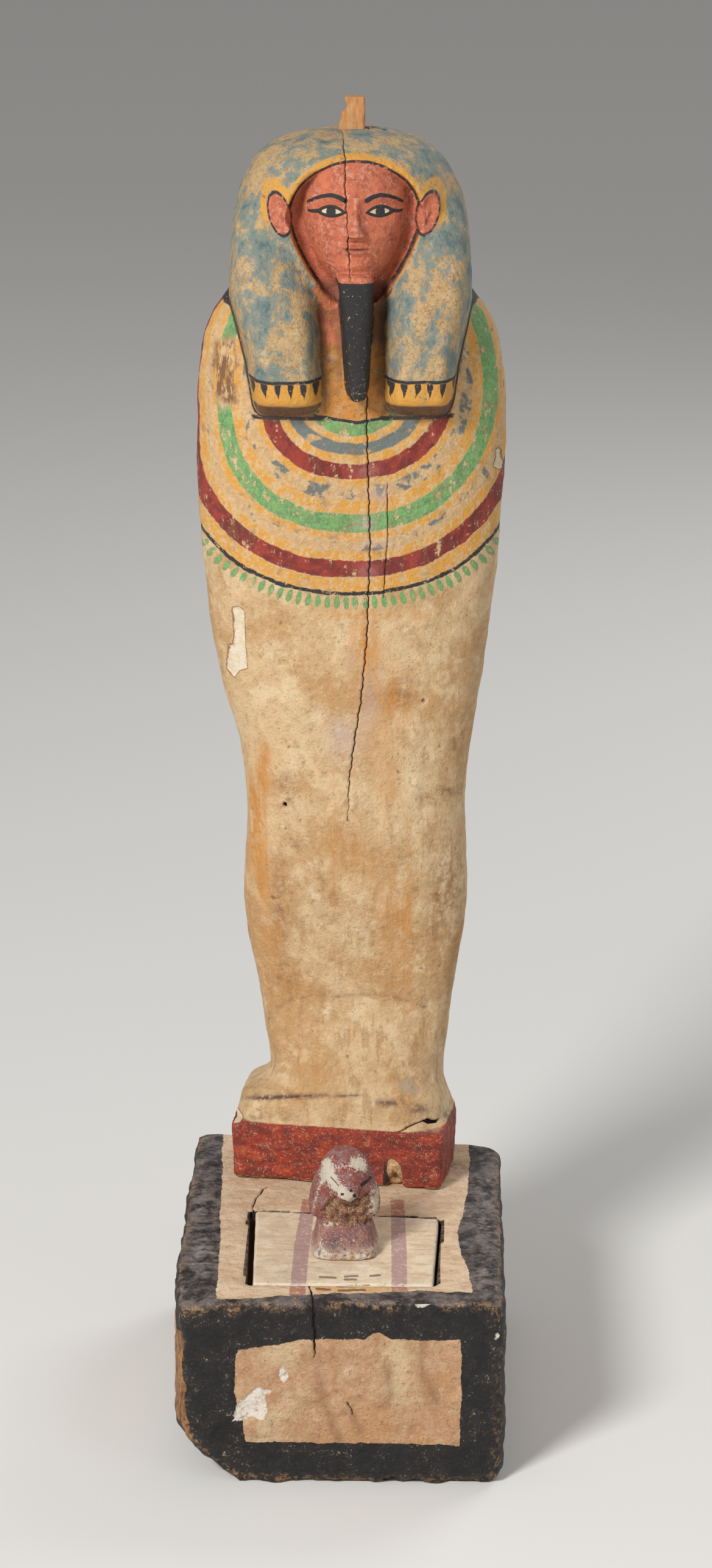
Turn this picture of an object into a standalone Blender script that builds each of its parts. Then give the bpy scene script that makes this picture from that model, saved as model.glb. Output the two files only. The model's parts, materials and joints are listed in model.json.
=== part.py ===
"""A painted wooden mummiform figure on its hollow plinth, with a lid and a small falcon.

Metres, +Z up, front towards -Y, origin at the centre of the plinth's underside.
The figure and the falcon are free carving: their outlines are rows of shares of
their own sizes. Everything that fits or seats is worked out from the named sizes.
"""
import math

import bmesh
import bpy
from mathutils import Matrix, Vector

# Clearance between pieces that touch
SEAT_GAP = 0.0003
# How far a cutter runs past the surface that it cuts
CUT_PAST = 0.01

# Plinth: a worn block
PLINTH_WIDTH = 0.157
PLINTH_DEPTH = 0.222
PLINTH_HEIGHT = 0.092
PLINTH_CORNER_RADIUS = 0.006
RIGHT_BACK_RADIUS = 0.012
BACK_SLANT = 0.0145
PLINTH_EDGE_WEAR = 0.0035
PLINTH_FACE_WAVE = 0.0006
FRONT_CORNER_WEAR = 0.0035
TOP_CORNER_DIP = 0.0035
WORN_CORNER_REACH = 0.022
TOP_FLAT_INSET = 0.018
CORNER_STEPS = 4
FACE_STEPS = 7
BREAK_WIDTH = 0.036
BREAK_HEIGHT = 0.042
BREAK_REACH = 0.085
SMALL_BREAK = 0.011

# Compartment and its lid, which is a little skewed
LID_FRONT_WIDTH = 0.085
LID_BACK_WIDTH = 0.090
LID_LEFT_LENGTH = 0.0905
LID_RIGHT_LENGTH = 0.0825
LID_THICKNESS = 0.010
LID_FRONT_MARGIN = 0.0235
LID_X = 0.0018
LID_EDGE_ROUND = 0.0008
LEFT_SLOT = 0.0028
RIGHT_SLOT = 0.0014
END_SLOT = 0.0005
LEDGE = 0.006
COMPARTMENT_FLOOR = 0.020

# Figure: height from the underside of its red foot block to the top of the wig
FIGURE_HEIGHT = 0.5215
FIGURE_X = 0.0028
FIGURE_BACK_MARGIN = 0.012
BLOCK_WIDTH = 0.1055
BLOCK_DEPTH = 0.062
BLOCK_HEIGHT = 0.030
BLOCK_FLARE = 0.0012
BLOCK_FRONT_SHARE = 0.6
BLOCK_FRONT_RADIUS = 0.0025
BLOCK_BACK_RADIUS = 0.020
BLOCK_NOTCH_WIDTH = 0.0095
BLOCK_NOTCH_HEIGHT = 0.0135
BLOCK_NOTCH_DEPTH = 0.006

# Tongue for the lost crown
TENON_WIDTH = 0.0123
TENON_THICKNESS = 0.0075
TENON_RISE = 0.0148
MORTISE_DEPTH = 0.012

# Falcon on the lid
FALCON_HEIGHT = 0.0513
FALCON_WIDTH = 0.0344
FALCON_DEPTH = 0.0365
FALCON_LID_MARGIN = 0.0275
FALCON_X = 0.0016

# The figure's rows are in hundredths of its height:
# level, half width, reach to the front, reach to the back, squareness
BODY_ROWS = [
    (4.6, 9.9, 6.85, 4.2, 4.2),
    (6.0, 10.05, 6.95, 4.3, 4.4),
    (7.7, 9.85, 7.0, 4.4, 4.0),
    (8.8, 8.55, 6.7, 4.4, 3.1),
    (10.0, 8.2, 6.15, 4.4, 2.6),
    (11.4, 8.6, 5.75, 4.4, 2.45),
    (13.8, 9.0, 5.05, 4.4, 2.5),
    (16.9, 9.4, 4.3, 4.5, 2.4),
    (20.1, 9.95, 4.5, 4.8, 2.35),
    (28.3, 10.85, 5.45, 5.2, 2.3),
    (35.9, 10.45, 6.1, 4.9, 2.3),
    (41.0, 10.8, 6.2, 5.1, 2.3),
    (47.2, 12.15, 6.4, 5.8, 2.3),
    (55.5, 13.35, 6.6, 5.6, 2.3),
    (63.6, 14.1, 6.85, 5.7, 2.3),
    (71.6, 14.4, 7.15, 6.0, 2.35),
    (77.6, 14.3, 7.05, 6.2, 2.4),
    (81.5, 13.65, 6.5, 6.0, 2.4),
    (83.6, 12.75, 6.0, 5.6, 2.4),
    (85.4, 11.1, 5.4, 5.0, 2.4),
    (86.0, 9.9, 5.0, 4.6, 2.3),
    (86.6, 7.6, 4.3, 4.0, 2.2),
    (87.0, 4.8, 3.3, 3.0, 2.1),
]
# level, turn in degrees, sideways shift of the axis
STANCE_ROWS = [
    (0.0, -8.75, -0.3),
    (7.6, -8.75, -0.5),
    (8.8, -8.6, 0.25),
    (9.6, -8.4, 0.45),
    (11.4, -8.0, 0.55),
    (14.0, -7.3, 0.4),
    (18.0, -6.0, 0.3),
    (24.0, -4.2, 0.25),
    (29.0, -2.5, 0.35),
    (41.0, 0.0, 0.35),
    (49.0, 0.8, -0.1),
    (60.0, 2.0, -0.2),
    (70.0, 2.6, -0.12),
    (78.0, 2.6, -0.07),
    (88.0, 2.6, -0.2),
    (100.0, 2.6, -0.2),
]
NECK_ROWS = [
    (75.0, 3.7, 7.0, 0.0, 2.4),
    (80.0, 3.6, 6.75, 0.0, 2.4),
    (84.0, 3.5, 6.3, 0.0, 2.3),
    (89.5, 3.3, 5.6, 0.0, 2.2),
]
WIG_ROWS = [
    (75.2, 8.2, 1.9, 6.45, 2.6),
    (76.7, 8.9, 2.7, 6.95, 2.6),
    (80.5, 10.0, 4.2, 6.95, 2.5),
    (84.4, 11.0, 6.1, 6.8, 2.4),
    (87.4, 10.95, 7.4, 6.8, 2.3),
    (91.3, 10.87, 8.35, 7.0, 2.25),
    (93.3, 10.55, 8.65, 7.0, 2.2),
    (95.2, 10.0, 8.75, 6.8, 2.2),
    (97.4, 8.8, 8.2, 6.1, 2.15),
    (98.5, 7.7, 7.3, 5.3, 2.1),
    (99.3, 6.2, 5.85, 4.4, 2.05),
    (99.8, 4.1, 3.8, 3.1, 2.0),
    (100.0, 1.9, 1.8, 1.6, 2.0),
]
# level, inner side, outer side, reach to the front, squareness
LAPPET_ROWS = [
    (74.5, 3.2, 8.6, 6.2, 3.4),
    (75.1, 3.0, 8.85, 7.6, 3.6),
    (76.4, 2.8, 9.05, 10.2, 4.0),
    (79.5, 2.8, 9.5, 10.2, 3.6),
    (82.8, 2.9, 10.3, 9.95, 3.2),
    (85.5, 3.15, 11.1, 9.45, 3.0),
    (88.8, 4.8, 10.95, 8.35, 2.8),
    (91.3, 6.0, 10.75, 6.9, 2.5),
    (93.4, 6.2, 10.2, 5.6, 2.3),
    (95.4, 6.3, 9.2, 4.4, 2.2),
]
# level, half width, reach to the front
BEARD_ROWS = [
    (76.6, 0.4, 10.2),
    (76.75, 0.75, 10.7),
    (77.5, 0.97, 10.95),
    (82.5, 1.27, 10.5),
    (86.7, 1.62, 9.9),
    (87.9, 1.72, 9.45),
]
BEARD_CENTRE = -8.0
BEARD_BACK = 2.6
BEARD_SQUARENESS = 3.6

# Face of plain canon proportions: level, half width, reach to the front
FACE_ROWS = [
    (86.6, 1.7, 6.9),
    (87.6, 2.8, 7.85),
    (88.7, 3.7, 8.2),
    (90.0, 4.45, 8.3),
    (91.6, 5.05, 8.35),
    (93.6, 5.4, 8.35),
    (95.4, 5.35, 8.3),
    (97.0, 5.0, 8.05),
    (98.4, 4.3, 7.4),
]
FACE_CENTRE = -2.0
FACE_SHIFT = 0.33
FACE_SQUARENESS = 2.25
FACE_EYE_LEVEL = 93.5
FACE_EYE_SPACING = 2.2
FACE_BROW_LEVEL = 94.7
FACE_NOSE_LEVEL = 91.5
FACE_MOUTH_LEVEL = 90.2
FACE_CHIN_LEVEL = 88.6

# Opening of the wig round the face: level of its widest point and its reach from there
OPENING_LEVEL = 92.57
OPENING_HALF_WIDTH = 6.12
OPENING_UP = 5.6
OPENING_DOWN = 8.35
OPENING_TAPER = 0.33
OPENING_BACK = 5.0

EAR_CENTRE = (6.65, -5.95, 93.2)
EAR_SHIFT = 0.2
EAR_SIZE = (0.95, 0.75, 2.0)
EAR_TILT = math.radians(14)

# The falcon's rows are hundredths of its height, half width and half depth:
# level, half width, front, back, squareness
FALCON_FOOT_ROWS = [
    (0, 94, 100, 100, 4.0),
    (6, 92, 97, 100, 3.8),
    (20, 80, 82, 95, 3.2),
    (34, 72, 68, 90, 2.8),
]
FALCON_BODY_ROWS = [
    (28, 70, 50, 86, 2.4),
    (36, 97, 66, 95, 2.6),
    (45, 100, 72, 98, 2.5),
    (58, 94, 74, 94, 2.4),
    (72, 80, 66, 82, 2.3),
    (82, 60, 45, 62, 2.2),
]
FALCON_HEAD_ROWS = [
    (53, 10, 92, -60, 2.0),
    (58, 30, 95, -30, 2.0),
    (66, 52, 93, 10, 2.0),
    (76, 68, 85, 42, 2.1),
    (85, 66, 72, 50, 2.1),
    (93, 50, 50, 42, 2.0),
    (98, 28, 22, 30, 2.0),
    (100, 12, 2, 16, 2.0),
]

# Colours, roughness
PALE_PAINT = ((0.56, 0.40, 0.22), 0.75)
BLACK_PAINT = ((0.03, 0.03, 0.04), 0.65)
GREY_PAINT = ((0.42, 0.37, 0.28), 0.7)
MAUVE_PAINT = ((0.30, 0.14, 0.13), 0.75)
BARE_WOOD = ((0.50, 0.26, 0.11), 0.6)

UNIT = FIGURE_HEIGHT / 100
TOP_Z = PLINTH_HEIGHT
BLOCK_FRONT = BLOCK_DEPTH * BLOCK_FRONT_SHARE
BLOCK_BACK = BLOCK_DEPTH - BLOCK_FRONT
BLOCK_TURN = math.radians(STANCE_ROWS[0][1])
FIGURE_Y = PLINTH_DEPTH / 2 - FIGURE_BACK_MARGIN - BLOCK_BACK
FIGURE_PLACE = Vector((FIGURE_X, FIGURE_Y, TOP_Z + SEAT_GAP))
LID_FRONT_Y = -PLINTH_DEPTH / 2 + LID_FRONT_MARGIN
FALCON_FRONT_Y = LID_FRONT_Y + FALCON_LID_MARGIN


def clear_scene():
    for item in list(bpy.data.objects):
        bpy.data.objects.remove(item, do_unlink=True)


def paint(name, look):
    colour, roughness = look
    material = bpy.data.materials.new(name)
    material.use_nodes = True
    shader = material.node_tree.nodes["Principled BSDF"]
    shader.inputs["Base Color"].default_value = (*colour, 1)
    shader.inputs["Roughness"].default_value = roughness
    shader.inputs["Metallic"].default_value = 0.0
    return material


def add_object(name, bm, place=(0, 0, 0)):
    bmesh.ops.recalc_face_normals(bm, faces=bm.faces)
    mesh = bpy.data.meshes.new(name)
    bm.to_mesh(mesh)
    bm.free()
    item = bpy.data.objects.new(name, mesh)
    item.location = place
    bpy.context.scene.collection.objects.link(item)
    return item


def smooth_row(rows, level):
    """Values of the rows at a level, on a curve that never overshoots them."""
    last = len(rows) - 1
    level = min(max(level, rows[0][0]), rows[last][0])
    index = 0
    while index < last - 1 and level > rows[index + 1][0]:
        index += 1
    before, low = rows[max(index - 1, 0)], rows[index]
    high, after = rows[index + 1], rows[min(index + 2, last)]
    step = high[0] - low[0]
    t = (level - low[0]) / step
    values = []
    for k in range(1, len(low)):
        rise = (high[k] - low[k]) / step
        start = slope_at(before, low, high, k) if index > 0 else rise
        end = slope_at(low, high, after, k) if index + 2 <= last else rise
        values.append(
            low[k] * (1 + 2 * t) * (1 - t) ** 2
            + high[k] * t * t * (3 - 2 * t)
            + step * (start * t * (1 - t) ** 2 - end * t * t * (1 - t))
        )
    return values


def slope_at(before, here, after, k):
    """Slope at a row: the harmonic mean of its neighbours' slopes, or level at a turning point."""
    left = (here[k] - before[k]) / (here[0] - before[0])
    right = (after[k] - here[k]) / (after[0] - here[0])
    if left * right <= 0:
        return 0.0
    return 2 * left * right / (left + right)


def levels_of(rows, step):
    """The rows' own levels, with even steps between them."""
    levels = [rows[0][0]]
    for low, high in zip(rows, rows[1:]):
        count = max(1, round((high[0] - low[0]) / step))
        for k in range(count):
            levels.append(low[0] + (high[0] - low[0]) * (k + 1) / count)
    return levels


def oval(half_width, front, back, squareness, sides):
    """A closed superellipse whose front (-Y) and back reach differently from its axis."""
    points = []
    for k in range(sides):
        angle = 2 * math.pi * k / sides
        x = math.copysign(abs(math.cos(angle)) ** (2 / squareness), math.cos(angle))
        y = math.copysign(abs(math.sin(angle)) ** (2 / squareness), math.sin(angle))
        points.append((half_width * x, y * (back if y > 0 else front)))
    return points


def loft(rings):
    """A closed solid through rings of (x, y, z) points, capped at both ends."""
    bm = bmesh.new()
    loops = [[bm.verts.new(point) for point in ring] for ring in rings]
    for lower, upper in zip(loops, loops[1:]):
        for k in range(len(lower)):
            bm.faces.new((lower[k - 1], lower[k], upper[k], upper[k - 1]))
    bm.faces.new(reversed(loops[0]))
    bm.faces.new(loops[-1])
    return bm


def as_guide(item):
    item.hide_render = True
    item.display_type = "WIRE"
    return item


def combine(item, guide, operation):
    as_guide(guide)
    step = item.modifiers.new(operation.lower() + "_" + guide.name, "BOOLEAN")
    step.operation = operation
    step.solver = "EXACT"
    step.object = guide


def stance(level, x, y):
    """Turns and shifts a point of the figure with its stance at that level."""
    degrees, shift = smooth_row(STANCE_ROWS, level)
    turn = math.radians(degrees)
    return (
        (x * math.cos(turn) - y * math.sin(turn) + shift) * UNIT,
        (x * math.sin(turn) + y * math.cos(turn)) * UNIT,
        level * UNIT,
    )


def figure_loft(name, rows, sides, step, centre=0.0):
    """A loft of ovals along the figure's height, in hundredths of it."""
    rings = []
    for level in levels_of(rows, step):
        half_width, front, back, squareness = smooth_row(rows, level)
        ring = oval(half_width, front + centre, back - centre, squareness, sides)
        rings.append([stance(level, x, y + centre) for x, y in ring])
    return add_object(name, loft(rings), FIGURE_PLACE)


def make_lappet(name, side):
    """One thick front panel of the wig, from beside the face down over the chest."""
    rings = []
    for level in levels_of(LAPPET_ROWS, 1.9):
        inner, outer, front, squareness = smooth_row(LAPPET_ROWS, level)
        centre = -3.2
        ring = oval((outer - inner) / 2, front + centre, -centre, squareness, 20)
        middle = side * (inner + outer) / 2
        rings.append([stance(level, x + middle, y + centre) for x, y in ring])
    return add_object(name, loft(rings), FIGURE_PLACE)


def make_beard():
    rings = []
    for level in levels_of(BEARD_ROWS, 2.2):
        half_width, front = smooth_row(BEARD_ROWS, level)
        ring = oval(half_width, front + BEARD_CENTRE, BEARD_BACK, BEARD_SQUARENESS, 16)
        rings.append([stance(level, x + FACE_SHIFT, y + BEARD_CENTRE) for x, y in ring])
    return add_object("carved_beard", loft(rings), FIGURE_PLACE)


def bump(x, z, centre_x, centre_z, spread_x, spread_z):
    return math.exp(-((x - centre_x) / spread_x) ** 2 - ((z - centre_z) / spread_z) ** 2)


def face_relief(x, level):
    """How far the features stand out of the plain oval of the face."""
    across = abs(x)
    bridge = FACE_EYE_LEVEL + 0.7
    along_nose = (bridge - level) / (bridge - FACE_NOSE_LEVEL)
    relief = 0.0
    if -0.25 < along_nose < 1.35:
        rise = min(max(along_nose + 0.25, 0.0), 1.25) / 1.25
        fall = 1.0 if along_nose < 1.0 else max(0.0, 1.0 - (along_nose - 1.0) / 0.35)
        spread = 0.42 + 0.42 * rise ** 2
        relief += (0.25 + 1.05 * rise ** 1.3) * fall * math.exp(-(x / spread) ** 2)
    relief += 0.22 * bump(x, level, 0, FACE_BROW_LEVEL + 0.25, 4.6, 0.5)
    relief -= 0.5 * bump(across, level, FACE_EYE_SPACING - 0.1, FACE_EYE_LEVEL, 1.25, 0.62)
    relief += 0.34 * bump(across, level, FACE_EYE_SPACING, FACE_EYE_LEVEL, 0.85, 0.36)
    relief += 0.34 * bump(x, level, 0, FACE_MOUTH_LEVEL, 1.5, 0.75)
    relief += 0.16 * bump(x, level, 0, FACE_MOUTH_LEVEL + 0.27, 1.1, 0.2)
    relief += 0.18 * bump(x, level, 0, FACE_MOUTH_LEVEL - 0.3, 0.95, 0.22)
    relief -= 0.2 * bump(x, level, 0, FACE_MOUTH_LEVEL, 1.25, 0.12)
    relief += 0.3 * bump(x, level, 0, FACE_CHIN_LEVEL, 1.1, 0.62)
    relief += 0.16 * bump(across, level, 2.9, FACE_NOSE_LEVEL + 0.4, 1.2, 1.1)
    return relief


def make_face():
    rings = []
    across = 26
    for level in levels_of(FACE_ROWS, 0.42):
        half_width, front = smooth_row(FACE_ROWS, level)
        ring = []
        for k in range(across + 1):
            angle = math.pi * k / across
            x = -math.cos(angle) * half_width
            fade = max(0.0, math.sin(angle)) ** 0.5
            share = max(0.0, 1 - abs(x / half_width) ** FACE_SQUARENESS)
            y = FACE_CENTRE - (front + FACE_CENTRE) * share ** (1 / FACE_SQUARENESS)
            ring.append((x, y - face_relief(x, level) * fade))
        ring.append((half_width * 0.8, 0.0))
        ring.append((-half_width * 0.8, 0.0))
        rings.append([stance(level, x + FACE_SHIFT, y) for x, y in ring])
    return add_object("carved_face", loft(rings), FIGURE_PLACE)


def make_opening():
    """Cutter that opens the wig round the face."""
    outline = []
    sides = 28
    for k in range(sides):
        angle = 2 * math.pi * k / sides
        reach = OPENING_UP if math.sin(angle) > 0 else OPENING_DOWN
        taper = 1.0 if math.sin(angle) > 0 else 1 + OPENING_TAPER * math.sin(angle)
        outline.append((
            OPENING_HALF_WIDTH * math.cos(angle) * taper + FACE_SHIFT,
            OPENING_LEVEL + reach * math.sin(angle),
        ))
    rings = []
    for y in (-14.0, -OPENING_BACK):
        rings.append([stance(level, x, y) for x, level in outline])
    return add_object("wig_opening", loft(rings), FIGURE_PLACE)


def make_ear(name, side):
    bm = bmesh.new()
    bmesh.ops.create_uvsphere(bm, u_segments=12, v_segments=8, radius=1.0)
    size = Matrix.Diagonal((*EAR_SIZE, 1.0))
    tilt = Matrix.Rotation(side * EAR_TILT, 4, "Y") @ Matrix.Rotation(side * -0.5, 4, "Z")
    place = Matrix.Translation((side * EAR_CENTRE[0] + EAR_SHIFT, EAR_CENTRE[1], EAR_CENTRE[2]))
    bmesh.ops.transform(bm, matrix=place @ tilt @ size, verts=bm.verts)
    for vert in bm.verts:
        vert.co = stance(vert.co.z, vert.co.x, vert.co.y)
    return add_object(name, bm, FIGURE_PLACE)


def rounded_outline(half_width, front, back, radii, corner_steps):
    """A rectangle with round corners, drawn anticlockwise from its right back corner."""
    corners = [
        (half_width, back, radii[0], 0),
        (-half_width, back, radii[1], 90),
        (-half_width, -front, radii[2], 180),
        (half_width, -front, radii[3], 270),
    ]
    points = []
    for x, y, radius, start in corners:
        centre_x = x - math.copysign(radius, x)
        centre_y = y - math.copysign(radius, y)
        for k in range(corner_steps + 1):
            angle = math.radians(start + 90 * k / corner_steps)
            points.append((
                centre_x + radius * math.cos(angle),
                centre_y + radius * math.sin(angle),
            ))
    return points


def make_foot_block():
    shift = STANCE_ROWS[0][2] * UNIT
    turn = Matrix.Rotation(BLOCK_TURN, 2)
    rings = []
    for z, flare in ((0.0, 0.0), (BLOCK_HEIGHT, BLOCK_FLARE)):
        outline = rounded_outline(
            BLOCK_WIDTH / 2 + flare, BLOCK_FRONT, BLOCK_BACK,
            (BLOCK_BACK_RADIUS, BLOCK_BACK_RADIUS, BLOCK_FRONT_RADIUS, BLOCK_FRONT_RADIUS), CORNER_STEPS,
        )
        ring = [turn @ Vector(point) for point in outline]
        rings.append([(point.x + shift, point.y, z) for point in ring])
    return add_object("foot_block", loft(rings), FIGURE_PLACE)


def make_block_notch():
    """Cutter for the piece broken out of the foot block's lower front edge."""
    width, height = BLOCK_NOTCH_WIDTH, BLOCK_NOTCH_HEIGHT
    outline = [
        (-0.5 * width, -0.15 * height), (0.62 * width, -0.15 * height), (0.5 * width, 0.45 * height),
        (0.2 * width, 0.9 * height), (-0.15 * width, height), (-0.38 * width, 0.55 * height),
    ]
    middle = BLOCK_WIDTH * 0.26
    turn = Matrix.Rotation(BLOCK_TURN, 2)
    rings = []
    for y, share in ((-BLOCK_FRONT - CUT_PAST, 1.15), (-BLOCK_FRONT + BLOCK_NOTCH_DEPTH, 0.6)):
        ring = []
        for x, z in outline:
            point = turn @ Vector((middle + x * share, y))
            ring.append((point.x, point.y, z * share))
        rings.append(ring)
    return add_object("block_notch", loft(rings), FIGURE_PLACE)


def box_at(name, low, high, place=(0, 0, 0)):
    bm = bmesh.new()
    bmesh.ops.create_cube(bm, size=1.0)
    low, high = Vector(low), Vector(high)
    for vert in bm.verts:
        middle = (low + high) / 2
        vert.co = middle + Vector([vert.co[k] * (high[k] - low[k]) for k in range(3)])
    return add_object(name, bm, place)


def make_figure():
    figure = figure_loft("figure", BODY_ROWS, 48, 3.0)
    figure.data.materials.append(paint("pale_ground_paint", PALE_PAINT))
    combine(figure, make_foot_block(), "UNION")
    combine(figure, figure_loft("neck", NECK_ROWS, 20, 3.0), "UNION")
    combine(figure, figure_loft("wig_mass", WIG_ROWS, 44, 2.0), "UNION")
    combine(figure, make_lappet("lappet_left", -1), "UNION")
    combine(figure, make_lappet("lappet_right", 1), "UNION")
    combine(figure, make_opening(), "DIFFERENCE")
    combine(figure, make_face(), "UNION")
    combine(figure, make_ear("ear_left", -1), "UNION")
    combine(figure, make_ear("ear_right", 1), "UNION")
    combine(figure, make_beard(), "UNION")
    combine(figure, make_block_notch(), "DIFFERENCE")
    half_width = TENON_WIDTH / 2 + SEAT_GAP
    half_depth = TENON_THICKNESS / 2 + SEAT_GAP
    mortise = box_at(
        "mortise",
        (-half_width, -half_depth, FIGURE_HEIGHT - MORTISE_DEPTH),
        (half_width, half_depth, FIGURE_HEIGHT + MORTISE_DEPTH),
        FIGURE_PLACE,
    )
    combine(figure, mortise, "DIFFERENCE")
    return figure


def make_tenon():
    """The bare tongue, worn to a waist on its left side and broken at its top."""
    half = TENON_WIDTH / 2
    foot = -MORTISE_DEPTH + SEAT_GAP
    outline = [
        (-half, foot), (half, foot), (half, TENON_RISE * 0.94), (half * 0.9, TENON_RISE),
        (-half * 0.52, TENON_RISE), (-half * 0.54, TENON_RISE * 0.86),
        (-half * 0.4, TENON_RISE * 0.7), (-half * 0.46, TENON_RISE * 0.6),
        (-half * 0.8, TENON_RISE * 0.5), (-half * 0.86, TENON_RISE * 0.3), (-half, TENON_RISE * 0.08),
    ]
    rings = []
    for y in (TENON_THICKNESS / 2, -TENON_THICKNESS / 2):
        rings.append([(x, y, z) for x, z in outline])
    tenon = add_object("crown_tenon", loft(rings), FIGURE_PLACE + Vector((0, 0, FIGURE_HEIGHT)))
    tenon.data.materials.append(paint("bare_wood", BARE_WOOD))
    return tenon


def wave(a, b):
    """A slow ripple between -1 and 1, the unevenness of hand-worked faces."""
    return math.sin(a * 71 + b * 43 + 0.7) * 0.6 + math.sin(a * 33 - b * 97 + 2.1) * 0.4


def plinth_ring(z, inset, worn_share=1.0):
    """The plinth's outline at a height, with a share of the wear of its faces."""
    small = PLINTH_CORNER_RADIUS
    outline = rounded_outline(
        PLINTH_WIDTH / 2 - inset, PLINTH_DEPTH / 2 - inset, PLINTH_DEPTH / 2 - inset,
        (RIGHT_BACK_RADIUS, small, small, small), CORNER_STEPS,
    )
    outline = [(x, y - right_back_slant(x, y)) for x, y in outline]
    ring = []
    for index, here in enumerate(outline):
        following = outline[(index + 1) % len(outline)]
        on_face = index % (CORNER_STEPS + 1) == CORNER_STEPS
        count = FACE_STEPS if on_face else 1
        for k in range(count):
            x = here[0] + (following[0] - here[0]) * k / count
            y = here[1] + (following[1] - here[1]) * k / count
            worn = worn_share * worn_corner(x, y)
            ripple = worn_share * PLINTH_FACE_WAVE * (1 - wave(x + y * 0.4, z + y))
            dent = ripple + FRONT_CORNER_WEAR * worn
            size = math.hypot(x, y)
            drop = TOP_CORNER_DIP * worn * (z / PLINTH_HEIGHT) ** 2
            ring.append((x - x / size * dent, y - y / size * dent, z - drop))
    return ring


def right_back_slant(x, y):
    """How far the back face comes forward, from nothing at its left end."""
    along = min(max(2 * y / PLINTH_DEPTH, 0.0), 1.0)
    return BACK_SLANT * (0.5 + x / PLINTH_WIDTH) * along


def worn_corner(x, y):
    """1 at the front left corner, which is rubbed away, fading to 0 along the faces."""
    distance = math.dist((x, y), (-PLINTH_WIDTH / 2, -PLINTH_DEPTH / 2))
    return math.exp(-((distance / WORN_CORNER_REACH) ** 2))


def make_plinth_block():
    wear = PLINTH_EDGE_WEAR
    steps = [(0.0, wear), (0.3 * wear, 0.3 * wear), (wear, 0.0)]
    middle = [PLINTH_HEIGHT * share for share in (0.2, 0.4, 0.6, 0.8)]
    levels = [(z, inset) for z, inset in steps]
    levels += [(z, 0.0) for z in middle]
    levels += [(PLINTH_HEIGHT - z, inset) for z, inset in reversed(steps)]
    rings = [plinth_ring(z, inset) for z, inset in levels]
    rings.append(plinth_ring(PLINTH_HEIGHT, TOP_FLAT_INSET, 0.0))
    return add_object("plinth", loft(rings))


def make_corner_break():
    """Cutter for the large break at the lower left of the front."""
    side, front = -PLINTH_WIDTH / 2, -PLINTH_DEPTH / 2
    width, height = BREAK_WIDTH, BREAK_HEIGHT
    outline = [
        (-CUT_PAST, 1.05 * height), (0.0, height), (0.1 * width, 0.74 * height),
        (0.22 * width, 0.57 * height), (0.6 * width, 0.22 * height), (0.8 * width, 0.1 * height),
        (1.05 * width, -0.1 * height), (-CUT_PAST, -CUT_PAST),
    ]
    rings = []
    stations = ((front - CUT_PAST, 1.1), (front + 0.35 * BREAK_REACH, 0.62), (front + BREAK_REACH, 0.05))
    for y, share in stations:
        rings.append([(side + x * share, y, z * share) for x, z in outline])
    return add_object("corner_break", loft(rings))


def make_small_break():
    """Cutter for the small break at the lower right of the front."""
    side, front, size = PLINTH_WIDTH / 2, -PLINTH_DEPTH / 2, SMALL_BREAK
    outline = [
        (CUT_PAST, 1.2 * size), (0.0, size), (-0.4 * size, 0.35 * size),
        (-size, -0.3 * size), (CUT_PAST, -0.3 * size),
    ]
    rings = []
    for y, share in ((front - CUT_PAST, 1.2), (front + 1.6 * size, 0.2)):
        rings.append([(side + x * share, y, z * share) for x, z in outline])
    return add_object("small_break", loft(rings))


def lid_corners(left, right, ends):
    """Corners of the lid's outline, grown by the given distances, anticlockwise from above."""
    front, back = LID_FRONT_WIDTH / 2, LID_BACK_WIDTH / 2
    return [
        (LID_X - front - left, LID_FRONT_Y - ends),
        (LID_X + front + right, LID_FRONT_Y - ends),
        (LID_X + back + right, LID_FRONT_Y + LID_RIGHT_LENGTH + ends),
        (LID_X - back - left, LID_FRONT_Y + LID_LEFT_LENGTH + ends),
    ]


def prism(name, corners, low, high):
    return add_object(name, loft([[(x, y, z) for x, y in corners] for z in (low, high)]))


def make_plinth():
    plinth = make_plinth_block()
    plinth.data.materials.append(paint("black_border_paint", BLACK_PAINT))
    combine(plinth, make_corner_break(), "DIFFERENCE")
    combine(plinth, make_small_break(), "DIFFERENCE")
    rebate_floor = TOP_Z - LID_THICKNESS - SEAT_GAP
    rebate = prism("lid_rebate", lid_corners(LEFT_SLOT, RIGHT_SLOT, END_SLOT), rebate_floor, TOP_Z + CUT_PAST)
    hollow = prism("compartment", lid_corners(-LEDGE, -LEDGE, -LEDGE), COMPARTMENT_FLOOR, TOP_Z + CUT_PAST)
    combine(plinth, rebate, "DIFFERENCE")
    combine(plinth, hollow, "DIFFERENCE")
    return plinth


def make_lid():
    lid = prism("compartment_lid", lid_corners(0.0, 0.0, 0.0), TOP_Z - LID_THICKNESS, TOP_Z)
    lid.data.materials.append(paint("grey_lid_paint", GREY_PAINT))
    rounding = lid.modifiers.new("worn_edges", "BEVEL")
    rounding.width = LID_EDGE_ROUND
    rounding.segments = 2
    rounding.limit_method = "ANGLE"
    return lid


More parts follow.
